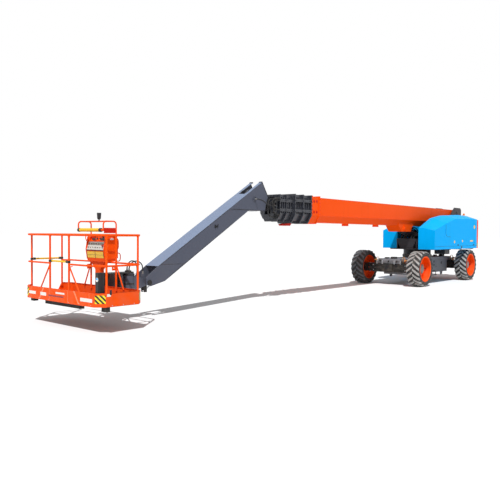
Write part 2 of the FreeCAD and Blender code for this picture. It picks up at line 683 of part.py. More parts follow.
def jib_cylinder_barrel():
    return cylinder_barrel(JIB_CYL_BASE, JIB_CYL_EYE, JIB_BARREL_LENGTH, JIB_BARREL_RADIUS, JIB_ROD_RADIUS,
                           60.0, 30.0, 60.0)


def jib_cylinder_rod():
    return cylinder_rod(JIB_CYL_BASE, JIB_CYL_EYE, JIB_BARREL_LENGTH, JIB_ROD_RADIUS,
                        JIB_BARREL_RADIUS - 12 - PAD_GAP, JIB_EYE_RADIUS, JIB_EYE_HALF, 1100.0)


# ---------------------------------------------------------------- boom
def boom_outline():
    return [(-BOOM_HALF_WIDTH, BOOM_TOP), (-BOOM_HALF_WIDTH, BOOM_FOLD), (-BOOM_HALF_BOTTOM, BOOM_BOTTOM),
            (BOOM_HALF_BOTTOM, BOOM_BOTTOM), (BOOM_HALF_WIDTH, BOOM_FOLD), (BOOM_HALF_WIDTH, BOOM_TOP)]


def section_outline(number):
    """Outer outline of a boom section, 1 being the base."""
    return inset(boom_outline(), SECTION_STEP * (number - 1)) if number > 1 else boom_outline()


def hollow_run(outline, x0, x1, wall):
    return cross_plate(outline, x0, x1).cut(cross_plate(inset(outline, wall), x0, x1))


def pad_rings(number, front, tail):
    """Wear pads: a band on the tail that slides in the outer section, a lip that guides the inner one."""
    pieces = []
    gap = SECTION_STEP - BOOM_WALL
    if tail is not None:
        outline = inset(section_outline(number), -(gap - PAD_GAP))
        pieces.append(hollow_run(outline, tail - PAD_BAND, tail, gap + 2))
    if front is not None:
        outline = inset(section_outline(number), BOOM_WALL / 2)
        pieces.append(hollow_run(outline, front, front + PAD_BAND, BOOM_WALL / 2 + gap - PAD_GAP))
    return pieces


def boom_base_section():
    pieces = [hollow_run(boom_outline(), BASE_FRONT, BASE_REAR, BOOM_WALL)]
    collar = hollow_run(inset(boom_outline(), -COLLAR_RISE), BASE_FRONT, BASE_FRONT + 40, COLLAR_RISE + 2)
    pieces.append(collar)
    rear_collar = collar.copy()
    rear_collar.translate(V(COLLAR_LENGTH - 40, 0, 0))
    pieces.append(rear_collar)
    skin = hollow_run(inset(boom_outline(), -18), BASE_FRONT, BASE_FRONT + COLLAR_LENGTH, 20)
    pieces.append(skin)
    pieces += pad_rings(1, BASE_FRONT, None)
    tube = pin_y((PIVOT_X, PIVOT_Z), PIVOT_PIN + 35, -TOWER_INNER + SLIDE_GAP, TOWER_INNER - SLIDE_GAP)
    pieces.append(tube)
    end = cross_plate(boom_outline(), BASE_REAR - 12, BASE_REAR)
    pieces.append(end.cut(box(BASE_REAR - 20, BASE_REAR + 10, -150, 150, PIVOT_Z - 130, PIVOT_Z + 130)))
    ex, ez = LIFT_EYE
    low, high = ez - BRACKET_SKIRT, BOOM_FOLD + 15
    top, foot = ex - BRACKET_TOP, ex - BRACKET_FOOT
    outline = [(top, BOOM_BOTTOM), (foot, low), (ex + 500, low), (ex + 570, ez + 30), (ex + 880, high),
               (top, high)]
    front = [(top, BOOM_BOTTOM + 60), (top, BOOM_BOTTOM), (foot, low), (foot + 25, low),
             (top + 25, BOOM_BOTTOM), (top + 25, BOOM_BOTTOM + 60)]
    inside_boom = cross_plate(inset(boom_outline(), BOOM_WALL / 2), ex - 700, ex + 900)
    plates = both_sides(side_plate(outline, BRACKET_INNER, BRACKET_INNER + BRACKET_PLATE))
    plates.append(side_plate(front, -BRACKET_INNER - PLATE_LAP, BRACKET_INNER + PLATE_LAP))
    pieces += [plate.cut(inside_boom) for plate in plates]
    boss = pin_y(LIFT_EYE, LIFT_EYE_RADIUS, BRACKET_INNER + BRACKET_PLATE - PLATE_LAP,
                 BRACKET_INNER + BRACKET_PLATE + BRACKET_BOSS)
    pieces += both_sides(boss)
    for x in (-4970.0, -3120.0):
        pieces.append(box(x - 90, x + 90, -60, 60, BOOM_BOTTOM - 70, BOOM_BOTTOM + 2))
    return join(pieces).cut(pin_y((PIVOT_X, PIVOT_Z), PIVOT_PIN + PIN_GAP, -TOWER_INNER, TOWER_INNER))


def section_head(number, x0, x1, rise):
    """Frames and rails round the front of a section, just ahead of the next larger one."""
    outline = inset(section_outline(number), -rise)
    pieces = [hollow_run(outline, x, x + HEAD_PLATE, rise + 2)
              for x in (x0, (x0 + x1 - HEAD_PLATE) / 2, x1 - HEAD_PLATE)]
    top = section_outline(number)[0][1]
    half = section_outline(number)[5][0]
    for y0, y1 in ((-half, -half + 60), (-40, 40), (half - 60, half)):
        pieces.append(box(x0, x1, y0, y1, top - 2, top + rise - 12))
    for side in (-1, 1):
        y0, y1 = sorted((side * (half - 2), side * (half + rise - 14)))
        pieces.append(box(x0, x1, y0, y1, BOOM_FOLD + 60, BOOM_FOLD + 130))
        pieces.append(box(x0, x1, y0, y1, top - 130, top - 60))
    return pieces


def boom_section_2():
    tail = SECTION_TAIL
    pieces = [hollow_run(section_outline(2), HEAD_2_FRONT, tail, BOOM_WALL)]
    pieces += section_head(2, HEAD_2_FRONT, BASE_FRONT - HEAD_GAP, 70.0)
    pieces += pad_rings(2, HEAD_2_FRONT, tail)
    return join(pieces)


def boom_section_3():
    tail = SECTION_TAIL - TAIL_STEP
    pieces = [hollow_run(section_outline(3), HEAD_3_FRONT, tail, BOOM_WALL)]
    pieces += section_head(3, HEAD_3_FRONT, HEAD_2_FRONT - HEAD_GAP, 55.0)
    pieces += pad_rings(3, HEAD_3_FRONT, tail)
    return join(pieces)


def boom_section_4():
    tail = SECTION_TAIL - 2 * TAIL_STEP
    pieces = [hollow_run(section_outline(4), TUBE_4_FRONT, tail, BOOM_WALL)]
    pieces += pad_rings(4, None, tail)
    half = section_outline(4)[5][0]
    lug = [(JIB_CYL_BASE[0] - 75, JIB_CYL_BASE[1] - 75), (JIB_CYL_BASE[0] + 75, JIB_CYL_BASE[1] - 75),
           (JIB_CYL_BASE[0] + 75, JIB_CYL_BASE[1] + 75), (JIB_CYL_BASE[0] - 75, JIB_CYL_BASE[1] + 75)]
    pieces += both_sides(side_plate(lug, 66.0, half - BOOM_WALL + 1))
    pieces.append(pin_y(JIB_CYL_BASE, 30.0, -67.0, 67.0))
    return join(pieces)


def boom_tip():
    """Two nose plates between the jib's cheeks, welded to a frame at the front of section 4."""
    x, z = JIB_PIVOT
    start = TUBE_4_FRONT
    arm = [(start, TIP_ARM_LOW - 60), (start, TIP_ARM_HIGH), (x, TIP_ARM_HIGH), (x, TIP_ARM_LOW),
           (start - 120, TIP_ARM_LOW)]
    plate = join([side_plate(arm, TIP_INNER, TIP_OUTER),
                  pin_y(JIB_PIVOT, TIP_NOSE_RADIUS, TIP_INNER, TIP_OUTER),
                  pin_y(JIB_PIVOT, JIB_PIN + 45, TIP_INNER, JIB_HALF_WIDTH - JIB_CHEEK - SLIDE_GAP)])
    frame_outline = inset(section_outline(4), -12)
    frame = cross_plate(frame_outline, start - 25, start)
    frame = frame.cut(box(start - 30, start + 5, -TIP_OUTER, TIP_OUTER, TIP_WINDOW_LOW, TIP_ARM_HIGH))
    cross = box(start - 160, start - 20, -TIP_INNER, TIP_INNER, TIP_ARM_HIGH - 40, TIP_ARM_HIGH - 20)
    bulkhead = box(start - 25, start - 10, -BULKHEAD_Y, -TIP_OUTER - 100, BULKHEAD_LOW, BULKHEAD_HIGH)
    nose = join(both_sides(plate) + [frame, cross, bulkhead])
    return nose.cut(pin_y(JIB_PIVOT, JIB_PIN + PIN_GAP, -JIB_HALF_WIDTH, JIB_HALF_WIDTH))


# ---------------------------------------------------------------- jib, drawn along u (down the jib) and n
def jib_place(u, n):
    angle = math.radians(JIB_ANGLE)
    cos, sin = math.cos(angle), math.sin(angle)
    return JIB_PIVOT[0] - u * cos - n * sin, JIB_PIVOT[1] - u * sin + n * cos


def level_pivot():
    return jib_place(JIB_LENGTH, LEVEL_N)


def level_eye():
    x, z = level_pivot()
    return x + LEVEL_LEVER[0], z + LEVEL_LEVER[1]


def level_cylinder_base():
    """On the jib's inner floor line, one cylinder length up the jib from the lever's eye."""
    x, z = level_eye()
    angle = math.radians(LEVEL_CYL_RISE)
    return x + LEVEL_CYL_LENGTH * math.cos(angle), z + LEVEL_CYL_LENGTH * math.sin(angle)


def jib_panel(points, y0, y1):
    return side_plate([jib_place(u, n) for u, n in points], y0, y1)


def jib_boom():
    inner = JIB_HALF_WIDTH - JIB_CHEEK
    lap = inner + PLATE_LAP
    tail_rear = (JIB_PIVOT[0] + 520, JIB_PIVOT[1] + 80)
    cheek = [jib_place(JIB_BOX_END, JIB_TOP), jib_place(-JIB_TAIL, JIB_TOP), tail_rear,
             (JIB_PIVOT[0] + 410, JIB_TAIL_FLOOR), jib_floor_corner(), jib_place(JIB_BOX_END, JIB_BOTTOM)]
    head = [jib_place(JIB_LENGTH + 10, LEVEL_N - 85), jib_place(JIB_LENGTH + 85, LEVEL_N),
            jib_place(JIB_LENGTH + 20, JIB_TOP - 30)]
    pieces = both_sides(side_plate(cheek + head, inner, JIB_HALF_WIDTH))
    w = JIB_WALL
    pieces.append(jib_panel([(JIB_COVER_START, JIB_TOP - w), (JIB_COVER_START, JIB_TOP),
                             (JIB_BOX_END, JIB_TOP), (JIB_BOX_END, JIB_TOP - w)], -lap, lap))
    pieces += both_sides(jib_panel([(-JIB_TAIL, JIB_TOP - w), (-JIB_TAIL, JIB_TOP), (JIB_COVER_START, JIB_TOP),
                                    (JIB_COVER_START, JIB_TOP - w)], JIB_SLOT, lap))
    floor_start = JIB_PIVOT[0] + 405
    panel_end = JIB_BOX_END - JIB_FLOOR_SHORT
    eye_slot = JIB_EYE_HALF + SLIDE_GAP
    floor = side_plate([(floor_start, JIB_TAIL_FLOOR), jib_floor_corner(), jib_place(panel_end, JIB_BOTTOM),
                        jib_place(panel_end, JIB_BOTTOM + w), jib_floor_corner(w),
                        (floor_start, JIB_TAIL_FLOOR + w)], -lap, lap)
    pieces.append(floor.cut(box(JIB_CYL_EYE[0] - 90, floor_start + 1, -eye_slot, eye_slot, JIB_TAIL_FLOOR - 1,
                                JIB_TAIL_FLOOR + w + 1)))
    ex, ez = JIB_CYL_EYE
    lug = [(ex - 60, JIB_TAIL_FLOOR + w / 2), (ex - 35, ez + 42), (ex + 30, ez + 42),
           (ex + 45, JIB_TAIL_FLOOR + w / 2)]
    pieces += both_sides(side_plate(lug, eye_slot, eye_slot + 14))
    pieces.append(pin_y(JIB_PIVOT, JIB_PIN, -lap, lap))
    pieces.append(pin_y(JIB_PIVOT, JIB_PIN + 20, -JIB_HALF_WIDTH - 14, -JIB_HALF_WIDTH + PLATE_LAP))
    pieces.append(pin_y(JIB_PIVOT, HOSE_RADIUS + 6, -SWIVEL_END, -JIB_HALF_WIDTH - 13))
    pieces.append(pin_y(level_pivot(), LEVEL_PIN, -lap, lap))
    bx, bz = level_cylinder_base()
    lug_y = LEVEL_BARREL_RADIUS + SLIDE_GAP
    pieces += both_sides(box(bx - 45, bx + 45, lug_y, lap, bz - 45, bz + 45))
    pieces.append(pin_y((bx, bz), 18.0, -lug_y - PLATE_LAP, lug_y + PLATE_LAP))
    return join(pieces)


def jib_floor_corner(depth=0.0):
    """Where the jib's bottom plate turns level under the tail, this deep into the plate."""
    angle = math.radians(JIB_ANGLE)
    level = JIB_PIVOT[1] - JIB_TAIL_FLOOR - depth
    return jib_place((level + (JIB_BOTTOM + depth) * math.cos(angle)) / math.sin(angle), JIB_BOTTOM + depth)


def level_cylinder_barrel():
    return cylinder_barrel(level_cylinder_base(), level_eye(), LEVEL_BARREL_LENGTH, LEVEL_BARREL_RADIUS,
                           LEVEL_ROD_RADIUS, 36.0, 18.0, LEVEL_EYE_HALF + 6)


def level_cylinder_rod():
    return cylinder_rod(level_cylinder_base(), level_eye(), LEVEL_BARREL_LENGTH, LEVEL_ROD_RADIUS,
                        LEVEL_BARREL_RADIUS - 12 - PAD_GAP, 28.0, LEVEL_EYE_HALF, 130.0)


def level_link():
    """The lever that the levelling cylinder holds level."""
    pivot, eye = level_pivot(), level_eye()
    boss = pin_y(pivot, LEVEL_BOSS, -LEVEL_BOSS_HALF, LEVEL_BOSS_HALF)
    lever = [(pivot[0] - 50, pivot[1]), (pivot[0] + 50, pivot[1]), (eye[0] + 32, eye[1] - 28),
             (eye[0] - 32, eye[1] - 28)]
    plates = both_sides(side_plate(lever, LEVEL_EYE_HALF + SLIDE_GAP, LEVEL_BOSS_HALF - 10))
    return join([boss] + plates).cut(pin_y(pivot, LEVEL_PIN + PIN_GAP, -LEVEL_BOSS_HALF, LEVEL_BOSS_HALF))


def platform_mount():
    """Ears on the levelling pin and the housing of the basket's rotator."""
    x, z = level_pivot()
    ear = [(x, z + 60), (x + 60, z), (x, z - 60), (ROTATOR_X + 60, ROTATOR_LOW + 30),
           (ROTATOR_X + 60, ROTATOR_HIGH - 40)]
    pieces = both_sides(side_plate(ear, MOUNT_EAR_INNER, MOUNT_EAR_OUTER))
    pieces.append(Part.makeCylinder(ROTATOR_RADIUS, ROTATOR_HIGH - ROTATOR_LOW, V(ROTATOR_X, 0, ROTATOR_LOW)))
    pieces += both_sides(box(ARCH_START_X - 22, ARCH_START_X + 22, MOUNT_EAR_INNER, MOUNT_EAR_OUTER, z,
                             ARCH_START_Z))
    bore = Part.makeCylinder(ROTATOR_SHAFT + PIN_GAP, ROTATOR_HIGH - ROTATOR_LOW, V(ROTATOR_X, 0, ROTATOR_LOW))
    return join(pieces).cut(bore).cut(pin_y((x, z), LEVEL_PIN + PIN_GAP, -MOUNT_EAR_OUTER, MOUNT_EAR_OUTER))


# ---------------------------------------------------------------- basket
def basket_support():
    """The yoke: a shaft through the rotator, two arms and the web that carries the basket."""
    low, high = ROTATOR_LOW - SLIDE_GAP, ROTATOR_HIGH + SLIDE_GAP
    shaft = Part.makeCylinder(ROTATOR_SHAFT, high - low + 2 * YOKE_PLATE, V(ROTATOR_X, 0, low - YOKE_PLATE))
    pieces = [shaft]
    for z in (low - YOKE_PLATE, high):
        pieces.append(Part.makeCylinder(YOKE_HALF_WIDTH, YOKE_PLATE, V(ROTATOR_X, 0, z)))
        pieces.append(box(BASKET_INNER_X, ROTATOR_X, -YOKE_HALF_WIDTH, YOKE_HALF_WIDTH, z, z + YOKE_PLATE))
    pieces.append(Part.makeCylinder(CAP_RADIUS, CAP_HEIGHT + 1, V(ROTATOR_X, 0, cap_top() - CAP_HEIGHT - 1)))
    web_x = ROTATOR_X - ROTATOR_RADIUS - 110
    pieces.append(box(web_x - 40, web_x, -YOKE_HALF_WIDTH, YOKE_HALF_WIDTH, low - 1, high + 1))
    pieces.append(box(BASKET_INNER_X, BASKET_INNER_X + 20, -300, 300, low - YOKE_PLATE, high + YOKE_PLATE))
    return join(pieces)


def cap_top():
    """Top of the swivel cap on the yoke, where the arching hoses end."""
    return ROTATOR_HIGH + SLIDE_GAP + YOKE_PLATE + CAP_HEIGHT


def basket_plan(grow=0.0):
    """The basket's eight-sided plan; grow moves the sides outwards."""
    x0, x1, half, cut = BASKET_OUTER_X, BASKET_INNER_X, BASKET_HALF_WIDTH, BASKET_CHAMFER
    plan = [(x0 + cut, -half), (x1 - cut, -half), (x1, -half + cut), (x1, half - cut), (x1 - cut, half),
            (x0 + cut, half), (x0, half - cut), (x0, -half + cut)]
    return inset(plan, -grow) if grow else plan


def basket_floor():
    outer = flat_plate(basket_plan(-TOE_WALL), BASKET_BOTTOM, BASKET_BOTTOM + FLOOR_FRAME - FLOOR_PLATE)
    inner = flat_plate(basket_plan(-TOE_WALL - FLOOR_FRAME), BASKET_BOTTOM, BASKET_BOTTOM + FLOOR_FRAME)
    top = BASKET_BOTTOM + FLOOR_FRAME
    plate = flat_plate(basket_plan(-TOE_WALL), top - FLOOR_PLATE, top)
    ribs = [box(BASKET_OUTER_X + 20, BASKET_INNER_X - 20, y - 20, y + 20, BASKET_BOTTOM, top - FLOOR_PLATE / 2)
            for y in (-700.0, 0.0, 700.0)]
    return join([outer.cut(inner), plate] + ribs)


def toe_boards():
    boards = flat_plate(basket_plan(), BASKET_BOTTOM, TOE_TOP).cut(
        flat_plate(basket_plan(-TOE_WALL), BASKET_BOTTOM, TOE_TOP))
    start, end = side_gate_span()
    low = TOE_TOP - TOE_DIP
    entry = [(start, TOE_TOP + 1), (start + TOE_DIP_SLOPE, low), (end - TOE_DIP_SLOPE, low), (end, TOE_TOP + 1)]
    return boards.cut(side_plate(entry, BASKET_HALF_WIDTH - 2 * TOE_WALL, BASKET_HALF_WIDTH + 1))


def rail_plan():
    """Rails and posts run along the inner faces of the toe boards."""
    return basket_plan(-TOE_WALL - POST_RADIUS - JOINT_GAP)


def gate_x():
    """Front line of the rails."""
    return rail_plan()[6][0]


def top_rail_loop(radius):
    corners = [(x, y, TOP_RAIL_Z) for x, y in rail_plan()]
    middle = (corners[2][0], 0.0, TOP_RAIL_Z)
    return bent_bar([middle] + corners[3:] + corners[:3] + [middle], radius, RAIL_BEND)


def basket_top_rail():
    return top_rail_loop(RAIL_RADIUS)


def post(x, y):
    """A post from the toe board up to the middle of the top rail, which is then cut out of it."""
    return rod((x, y, TOE_TOP - 60), (x, y, TOP_RAIL_Z), POST_RADIUS)


def side_gate_span():
    plan = rail_plan()
    return plan[5][0], plan[4][0]


def basket_lower_rails():
    plan = rail_plan()
    z = MID_RAIL_Z
    front, rear, half = plan[6][0], plan[2][0], plan[4][1]
    side0, side1 = plan[0][0], plan[1][0]
    chain = [(front, -GATE_HALF, z), (front, plan[7][1], z), (side0, -half, z), (side1, -half, z),
             (rear, plan[2][1], z), (rear, plan[3][1], z), (side1, half, z)]
    corner = [(front, GATE_HALF, z), (front, plan[6][1], z), (side0, half, z)]
    pieces = [bent_bar(chain, MID_RAIL_RADIUS, RAIL_BEND), bent_bar(corner, MID_RAIL_RADIUS, RAIL_BEND)]
    for y in (-half, half):
        pieces += [post(side0, y), post(side1, y)]
    pieces += [post(front, -GATE_HALF), post(front, GATE_HALF)]
    pieces += [post(rear, -REAR_POST_Y), post(rear, REAR_POST_Y)]
    brace_low = TOE_TOP - 40
    for y in (-GATE_HALF, GATE_HALF):
        way = 1 if y > 0 else -1
        pieces.append(rod((front, y, z - 20), (front, y + way * 340, brace_low), BRACE_RADIUS))
    for way in (-1, 1):
        pieces.append(rod((rear, way * REAR_POST_Y, z - 20), (rear, way * (REAR_POST_Y + 230), brace_low),
                          BRACE_RADIUS))
    lanyards = [side_plate([(rear - 90, 1000), (rear, 1000), (rear, 1090), (rear - 90, 1090)],
                           y, y + LANYARD_PLATE)
                .cut(pin_y((rear - 50, 1045), LANYARD_HOLE, y, y + LANYARD_PLATE))
                for y in (-REAR_POST_Y - LANYARD_PLATE / 2, REAR_POST_Y - LANYARD_PLATE / 2)]
    return join(pieces + lanyards).cut(top_rail_loop(RAIL_RADIUS + JOINT_GAP))


def gate_bar(a, b):
    """A bar with a sleeve on each of two posts, a and b being the posts' (x, y)."""
    z = MID_RAIL_Z + MID_RAIL_RADIUS + SLIDE_GAP + GATE_SLEEVE_HALF
    low, high = z - GATE_SLEEVE_HALF, z + GATE_SLEEVE_HALF
    outer = POST_RADIUS + SLEEVE_GAP + GATE_SLEEVE_WALL
    pieces = [rod((a[0], a[1], z), (b[0], b[1], z), GATE_BAR_RADIUS)]
    bores = []
    for x, y in (a, b):
        pieces.append(Part.makeCylinder(outer, high - low, V(x, y, low)))
        bores.append(Part.makeCylinder(POST_RADIUS + SLEEVE_GAP, high - low, V(x, y, low)))
    return join(pieces).cut(join(bores))


def front_gate_bar():
    return gate_bar((gate_x(), -GATE_HALF), (gate_x(), GATE_HALF))


def side_gate_bar():
    x0, x1 = side_gate_span()
    half = rail_plan()[4][1]
    return gate_bar((x0, half), (x1, half))


def bumper_bars():
    low = BASKET_BOTTOM - BUMPER_HEIGHT
    front = BASKET_OUTER_X + 90
    rear = BASKET_INNER_X - 200
    foot = front + 50
    return join([box(front, front + BUMPER_WIDTH, -540, 600, low, BASKET_BOTTOM),
                 box(rear, rear + BUMPER_WIDTH, -540, 600, low, BASKET_BOTTOM)]
                + both_sides(box(foot, foot + BUMPER_WIDTH, 1100, 1215, low, BASKET_BOTTOM)))


def console_floor():
    return MID_RAIL_Z + MID_RAIL_RADIUS + JOINT_GAP


def control_console():
    x0, x1, half = CONSOLE_OUTER_X, CONSOLE_INNER_X, CONSOLE_HALF
    low = console_floor()
    body = side_plate([(x0 + 30, low), (x0, low + 210), (x0 + 60, low + 370), (x1 - 80, low + 470),
                       (x1, low + 400), (x1, low + 120), (x1 - 60, low)], -half + 12, half - 12)
    ears = both_sides(side_plate([(x0 + 20, low + 40), (x0 - 10, low + 230), (x0 + 30, low + 460),
                                  (x1 - 60, low + 470), (x1, low + 390), (x1, low + 60)], half - 12, half))
    return join([body] + ears)


def console_pedestal():
    floor = BASKET_BOTTOM + FLOOR_FRAME
    x0, x1 = BASKET_INNER_X - 150, BASKET_INNER_X - 60
    seat, half = console_floor() - 0.4, CONSOLE_HALF - 60
    column = box(x0, x1, -PEDESTAL_HALF, PEDESTAL_HALF, floor, console_floor() - 40)
    head = cross_plate([(-PEDESTAL_HALF, seat - 150), (PEDESTAL_HALF, seat - 150), (half, seat),
                        (-half, seat)], x0, x1 + 5)
    foot = box(x0 - 40, BASKET_INNER_X - TOE_WALL - 1, -PEDESTAL_HALF - 50, PEDESTAL_HALF + 50, floor,
               floor + 10)
    return join([column, head, foot])


def console_guard():
    rear = rail_plan()[2][0]
    base = TOP_RAIL_Z
    half = REAR_POST_Y
    pieces = []
    for y in (-half, half):
        side = [(rear, y, base), (rear, y, GUARD_TOP), (GUARD_X, y, GUARD_TOP), (GUARD_X, y, GUARD_PAD_Z)]
        pieces.append(bent_bar(side, GUARD_RADIUS, GUARD_BEND))
    for x in (GUARD_X + GUARD_BEND, rear - GUARD_BEND):
        pieces.append(rod((x, -half, GUARD_TOP), (x, half, GUARD_TOP), GUARD_RADIUS - 2))
    pieces.append(rod((GUARD_X, -half, GUARD_PAD_Z), (GUARD_X, half, GUARD_PAD_Z), GUARD_RADIUS + 8))
    return join(pieces).cut(top_rail_loop(RAIL_RADIUS + JOINT_GAP))


def junction_box():
    return box(BASKET_OUTER_X + 60, BASKET_OUTER_X + 170, -1140, -1045, TOE_TOP + 0.4, TOE_TOP + 340)


# ---------------------------------------------------------------- hoses
def hose(name, route):
    """A tube along straight runs and arcs, each arc as large as the runs beside it allow."""
    corners = [V(*p) for p in route]
    edges, radii, start = [], [], corners[0]
    for a, b, c in zip(corners, corners[1:], corners[2:]):
        before, after = (b - a).normalize(), (c - b).normalize()
        reach = HOSE_ARC_SHARE * min((b - a).Length, (c - b).Length)
        half_turn = before.getAngle(after) / 2
        radius = reach / math.tan(half_turn)
        first, last = b - before * reach, b + after * reach
        inward = (after - before).normalize()
        middle = b + inward * (radius / math.cos(half_turn) - radius)
        edges += [Part.LineSegment(start, first).toShape(), Part.Arc(first, middle, last).toShape()]
        radii.append(radius)
        start = last
    edges.append(Part.LineSegment(start, corners[-1]).toShape())
    path = Part.Wire(edges)
    section = Part.Wire(Part.makeCircle(HOSE_RADIUS, corners[0], corners[1] - corners[0]))
    tube = path.makePipeShell([section], True, True)
    full = math.pi * HOSE_RADIUS ** 2 * path.Length
    print(name, "length", round(path.Length), "radii", [round(r) for r in radii],
          "volume share", round(tube.Volume / full, 4))
    return tube


def pivot_hose():
    """From the bulkhead round the outside of the left cheek to the swivel on the jib's pivot."""
    px, pz = JIB_PIVOT
    return hose("pivot_hose", [(TUBE_4_FRONT - 25, -262, 2400), (-8765, -262, 2400), (-8870, -296, 2392),
                               (-8970, -346, 2388), (-9065, -388, 2393), (-9150, -414, 2408),
                               (-9232, -422, 2432), (-9306, -422, 2467), (-9366, -382, 2501),
                               (px, -315, pz), (px, -SWIVEL_END, pz)])


def loop_hose():
    """A hanging loop with both ends on the bulkhead."""
    x = TUBE_4_FRONT - 25
    return hose("loop_hose", [(x, -262, 2490), (-8800, -262, 2490), (-8864, -268, 2453), (-8901, -276, 2389),
                              (-8901, -276, 2315), (-8864, -268, 2251), (-8800, -262, 2214), (x, -262, 2214)])


def arch_hose(side):
    """From a block on the mount's ear, up and over to the cap on the rotator's axis."""
    x, z = ARCH_START_X, ARCH_START_Z
    start, end = side * ARCH_START_Y, side * ARCH_END_Y
    return hose("arch_hose", [(x, start, z), (x, start, z + 150), (x - 39, side * 80, z + 217),
                              (x - 106, side * 68, z + 256), (x - 183, side * 56, z + 256),
                              (x - 250, side * 44, z + 217), (ROTATOR_X, end, z + 150),
                              (ROTATOR_X, end, cap_top())])


# ---------------------------------------------------------------- all pieces
def wheel_stations():
    for axle, x in (("front", WHEELBASE / 2), ("rear", -WHEELBASE / 2)):
        for name, side in (("left", -1), ("right", 1)):
            yield axle + "_" + name, x, side


def main():
    os.makedirs("parts", exist_ok=True)
    for corner, x, side in wheel_stations():
        write("tyre_" + corner, tyre(x, side))
        write("rim_" + corner, rim(x, side))
        write("knuckle_" + corner, knuckle(x, side))
        write("axle_beam_" + corner, axle_beam(x, side))
    write("axle_housing_front", axle_housing(WHEELBASE / 2))
    write("axle_housing_rear", axle_housing(-WHEELBASE / 2))
    write("chassis_frame", chassis_frame())
    write("slewing_ring", slewing_ring())
    write("turntable_frame", turntable_frame())
    write("counterweight", counterweight())
    write("engine_block", engine_block())
    write("left_cowl", on_side(cowl_base(LEFT_COWL, LEFT_COWL[1][0]), 1))
    write("left_hood", on_side(hood(LEFT_COWL, LEFT_COWL[1][0]), 1))
    write("right_cowl", cowl_base(RIGHT_COWL, RIGHT_COWL[1][0]))
    write("right_hood", hood(RIGHT_COWL, RIGHT_COWL[1][0]))
    pieces = [lift_cylinder_barrel, lift_cylinder_rod, boom_base_section, boom_section_2, boom_section_3,
              boom_section_4, boom_tip, jib_cylinder_barrel, jib_cylinder_rod, jib_boom, level_cylinder_barrel,
              level_cylinder_rod, level_link, platform_mount, basket_support, basket_floor, toe_boards,
              basket_top_rail, basket_lower_rails, front_gate_bar, side_gate_bar, bumper_bars, control_console,
              console_pedestal, console_guard, junction_box]
    for make in pieces:
        write(make.__name__, make())
    write("pivot_hose", pivot_hose())
    write("loop_hose", loop_hose())
    write("arch_hose_left", arch_hose(-1))
    write("arch_hose_right", arch_hose(1))


if __name__ == "__main__":
    main()
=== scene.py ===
import math
from itertools import product
import bmesh
import bpy
from mathutils import Matrix, Vector


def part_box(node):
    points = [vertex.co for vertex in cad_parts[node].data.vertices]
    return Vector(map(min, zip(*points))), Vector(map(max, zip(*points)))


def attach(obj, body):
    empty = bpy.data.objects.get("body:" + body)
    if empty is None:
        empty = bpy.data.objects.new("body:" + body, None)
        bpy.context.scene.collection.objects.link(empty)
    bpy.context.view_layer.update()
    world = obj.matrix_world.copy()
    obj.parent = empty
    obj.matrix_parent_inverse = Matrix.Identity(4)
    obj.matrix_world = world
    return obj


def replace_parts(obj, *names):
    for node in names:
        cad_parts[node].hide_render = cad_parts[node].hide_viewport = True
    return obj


# Looks of a telescopic boom lift, in metres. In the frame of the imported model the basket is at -X, +Z is
# up and left is -Y. Pieces are drawn with X measured from the slewing axis, which stands at SLEW_X in the
# frame, and Maker.piece moves them there.
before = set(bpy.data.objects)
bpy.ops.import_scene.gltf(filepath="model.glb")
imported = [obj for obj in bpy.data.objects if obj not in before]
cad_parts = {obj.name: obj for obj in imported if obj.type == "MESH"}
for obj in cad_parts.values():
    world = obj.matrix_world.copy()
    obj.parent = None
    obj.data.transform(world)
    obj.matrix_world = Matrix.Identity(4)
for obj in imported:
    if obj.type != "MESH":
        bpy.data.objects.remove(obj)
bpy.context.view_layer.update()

X, Y, Z = Vector((1, 0, 0)), Vector((0, 1, 0)), Vector((0, 0, 1))
SIDES = (-1, 1)
NAMED_SIDES = ((-1, "left"), (1, "right"))
SLEW_X = sum(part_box("slewing_ring"), Vector()).x / 2
CORNERS = ("front_left", "front_right", "rear_left", "rear_right")
CAMERA_PLACE = Vector((-14.243, -9.204, 1.702))
CAMERA_YAW = 0.8552
CAMERA_PITCH = math.radians(-1.663)
CAMERA_ROLL = -0.0079
CAMERA_LENS = 41.48
SUN_SLANT = Vector((0.55, 0.42, -1.0))
SUN_STRENGTH = 3.2
SKY_STRENGTH = 0.34
FLOOR_HALF = 250.0
FLOOR_GREY = 0.92
FLOOR_GLOW = 0.02
JIB_SLOPE = math.radians(30.599)
JIB_PIVOT = Vector((-9.4, 0.0, 2.52))


def jib_at(u, y, n):
    """A place u down the jib from its pivot, n above its middle line."""
    cos, sin = math.cos(JIB_SLOPE), math.sin(JIB_SLOPE)
    return JIB_PIVOT + Vector((-u * cos - n * sin, y, -u * sin + n * cos))


JIB_RISE = (jib_at(0, 0, 1) - JIB_PIVOT).normalized()


def packed_box(node):
    """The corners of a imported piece's box, with X measured from the slewing axis."""
    return [corner - X * SLEW_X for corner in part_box(node)]


def four(u, v, place):
    """The corners of a patch that place(u, v) lays out between two values of u and two of v."""
    return [place(u[0], v[0]), place(u[1], v[0]), place(u[1], v[1]), place(u[0], v[1])]


def at_y(y, *places):
    """Places given by (x, z), all at one distance from the middle plane."""
    return [Vector((x, y, z)) for x, z in places]


def put(name, data):
    """An object that shows data."""
    made = bpy.data.objects.new(name, data)
    bpy.context.collection.objects.link(made)
    return made


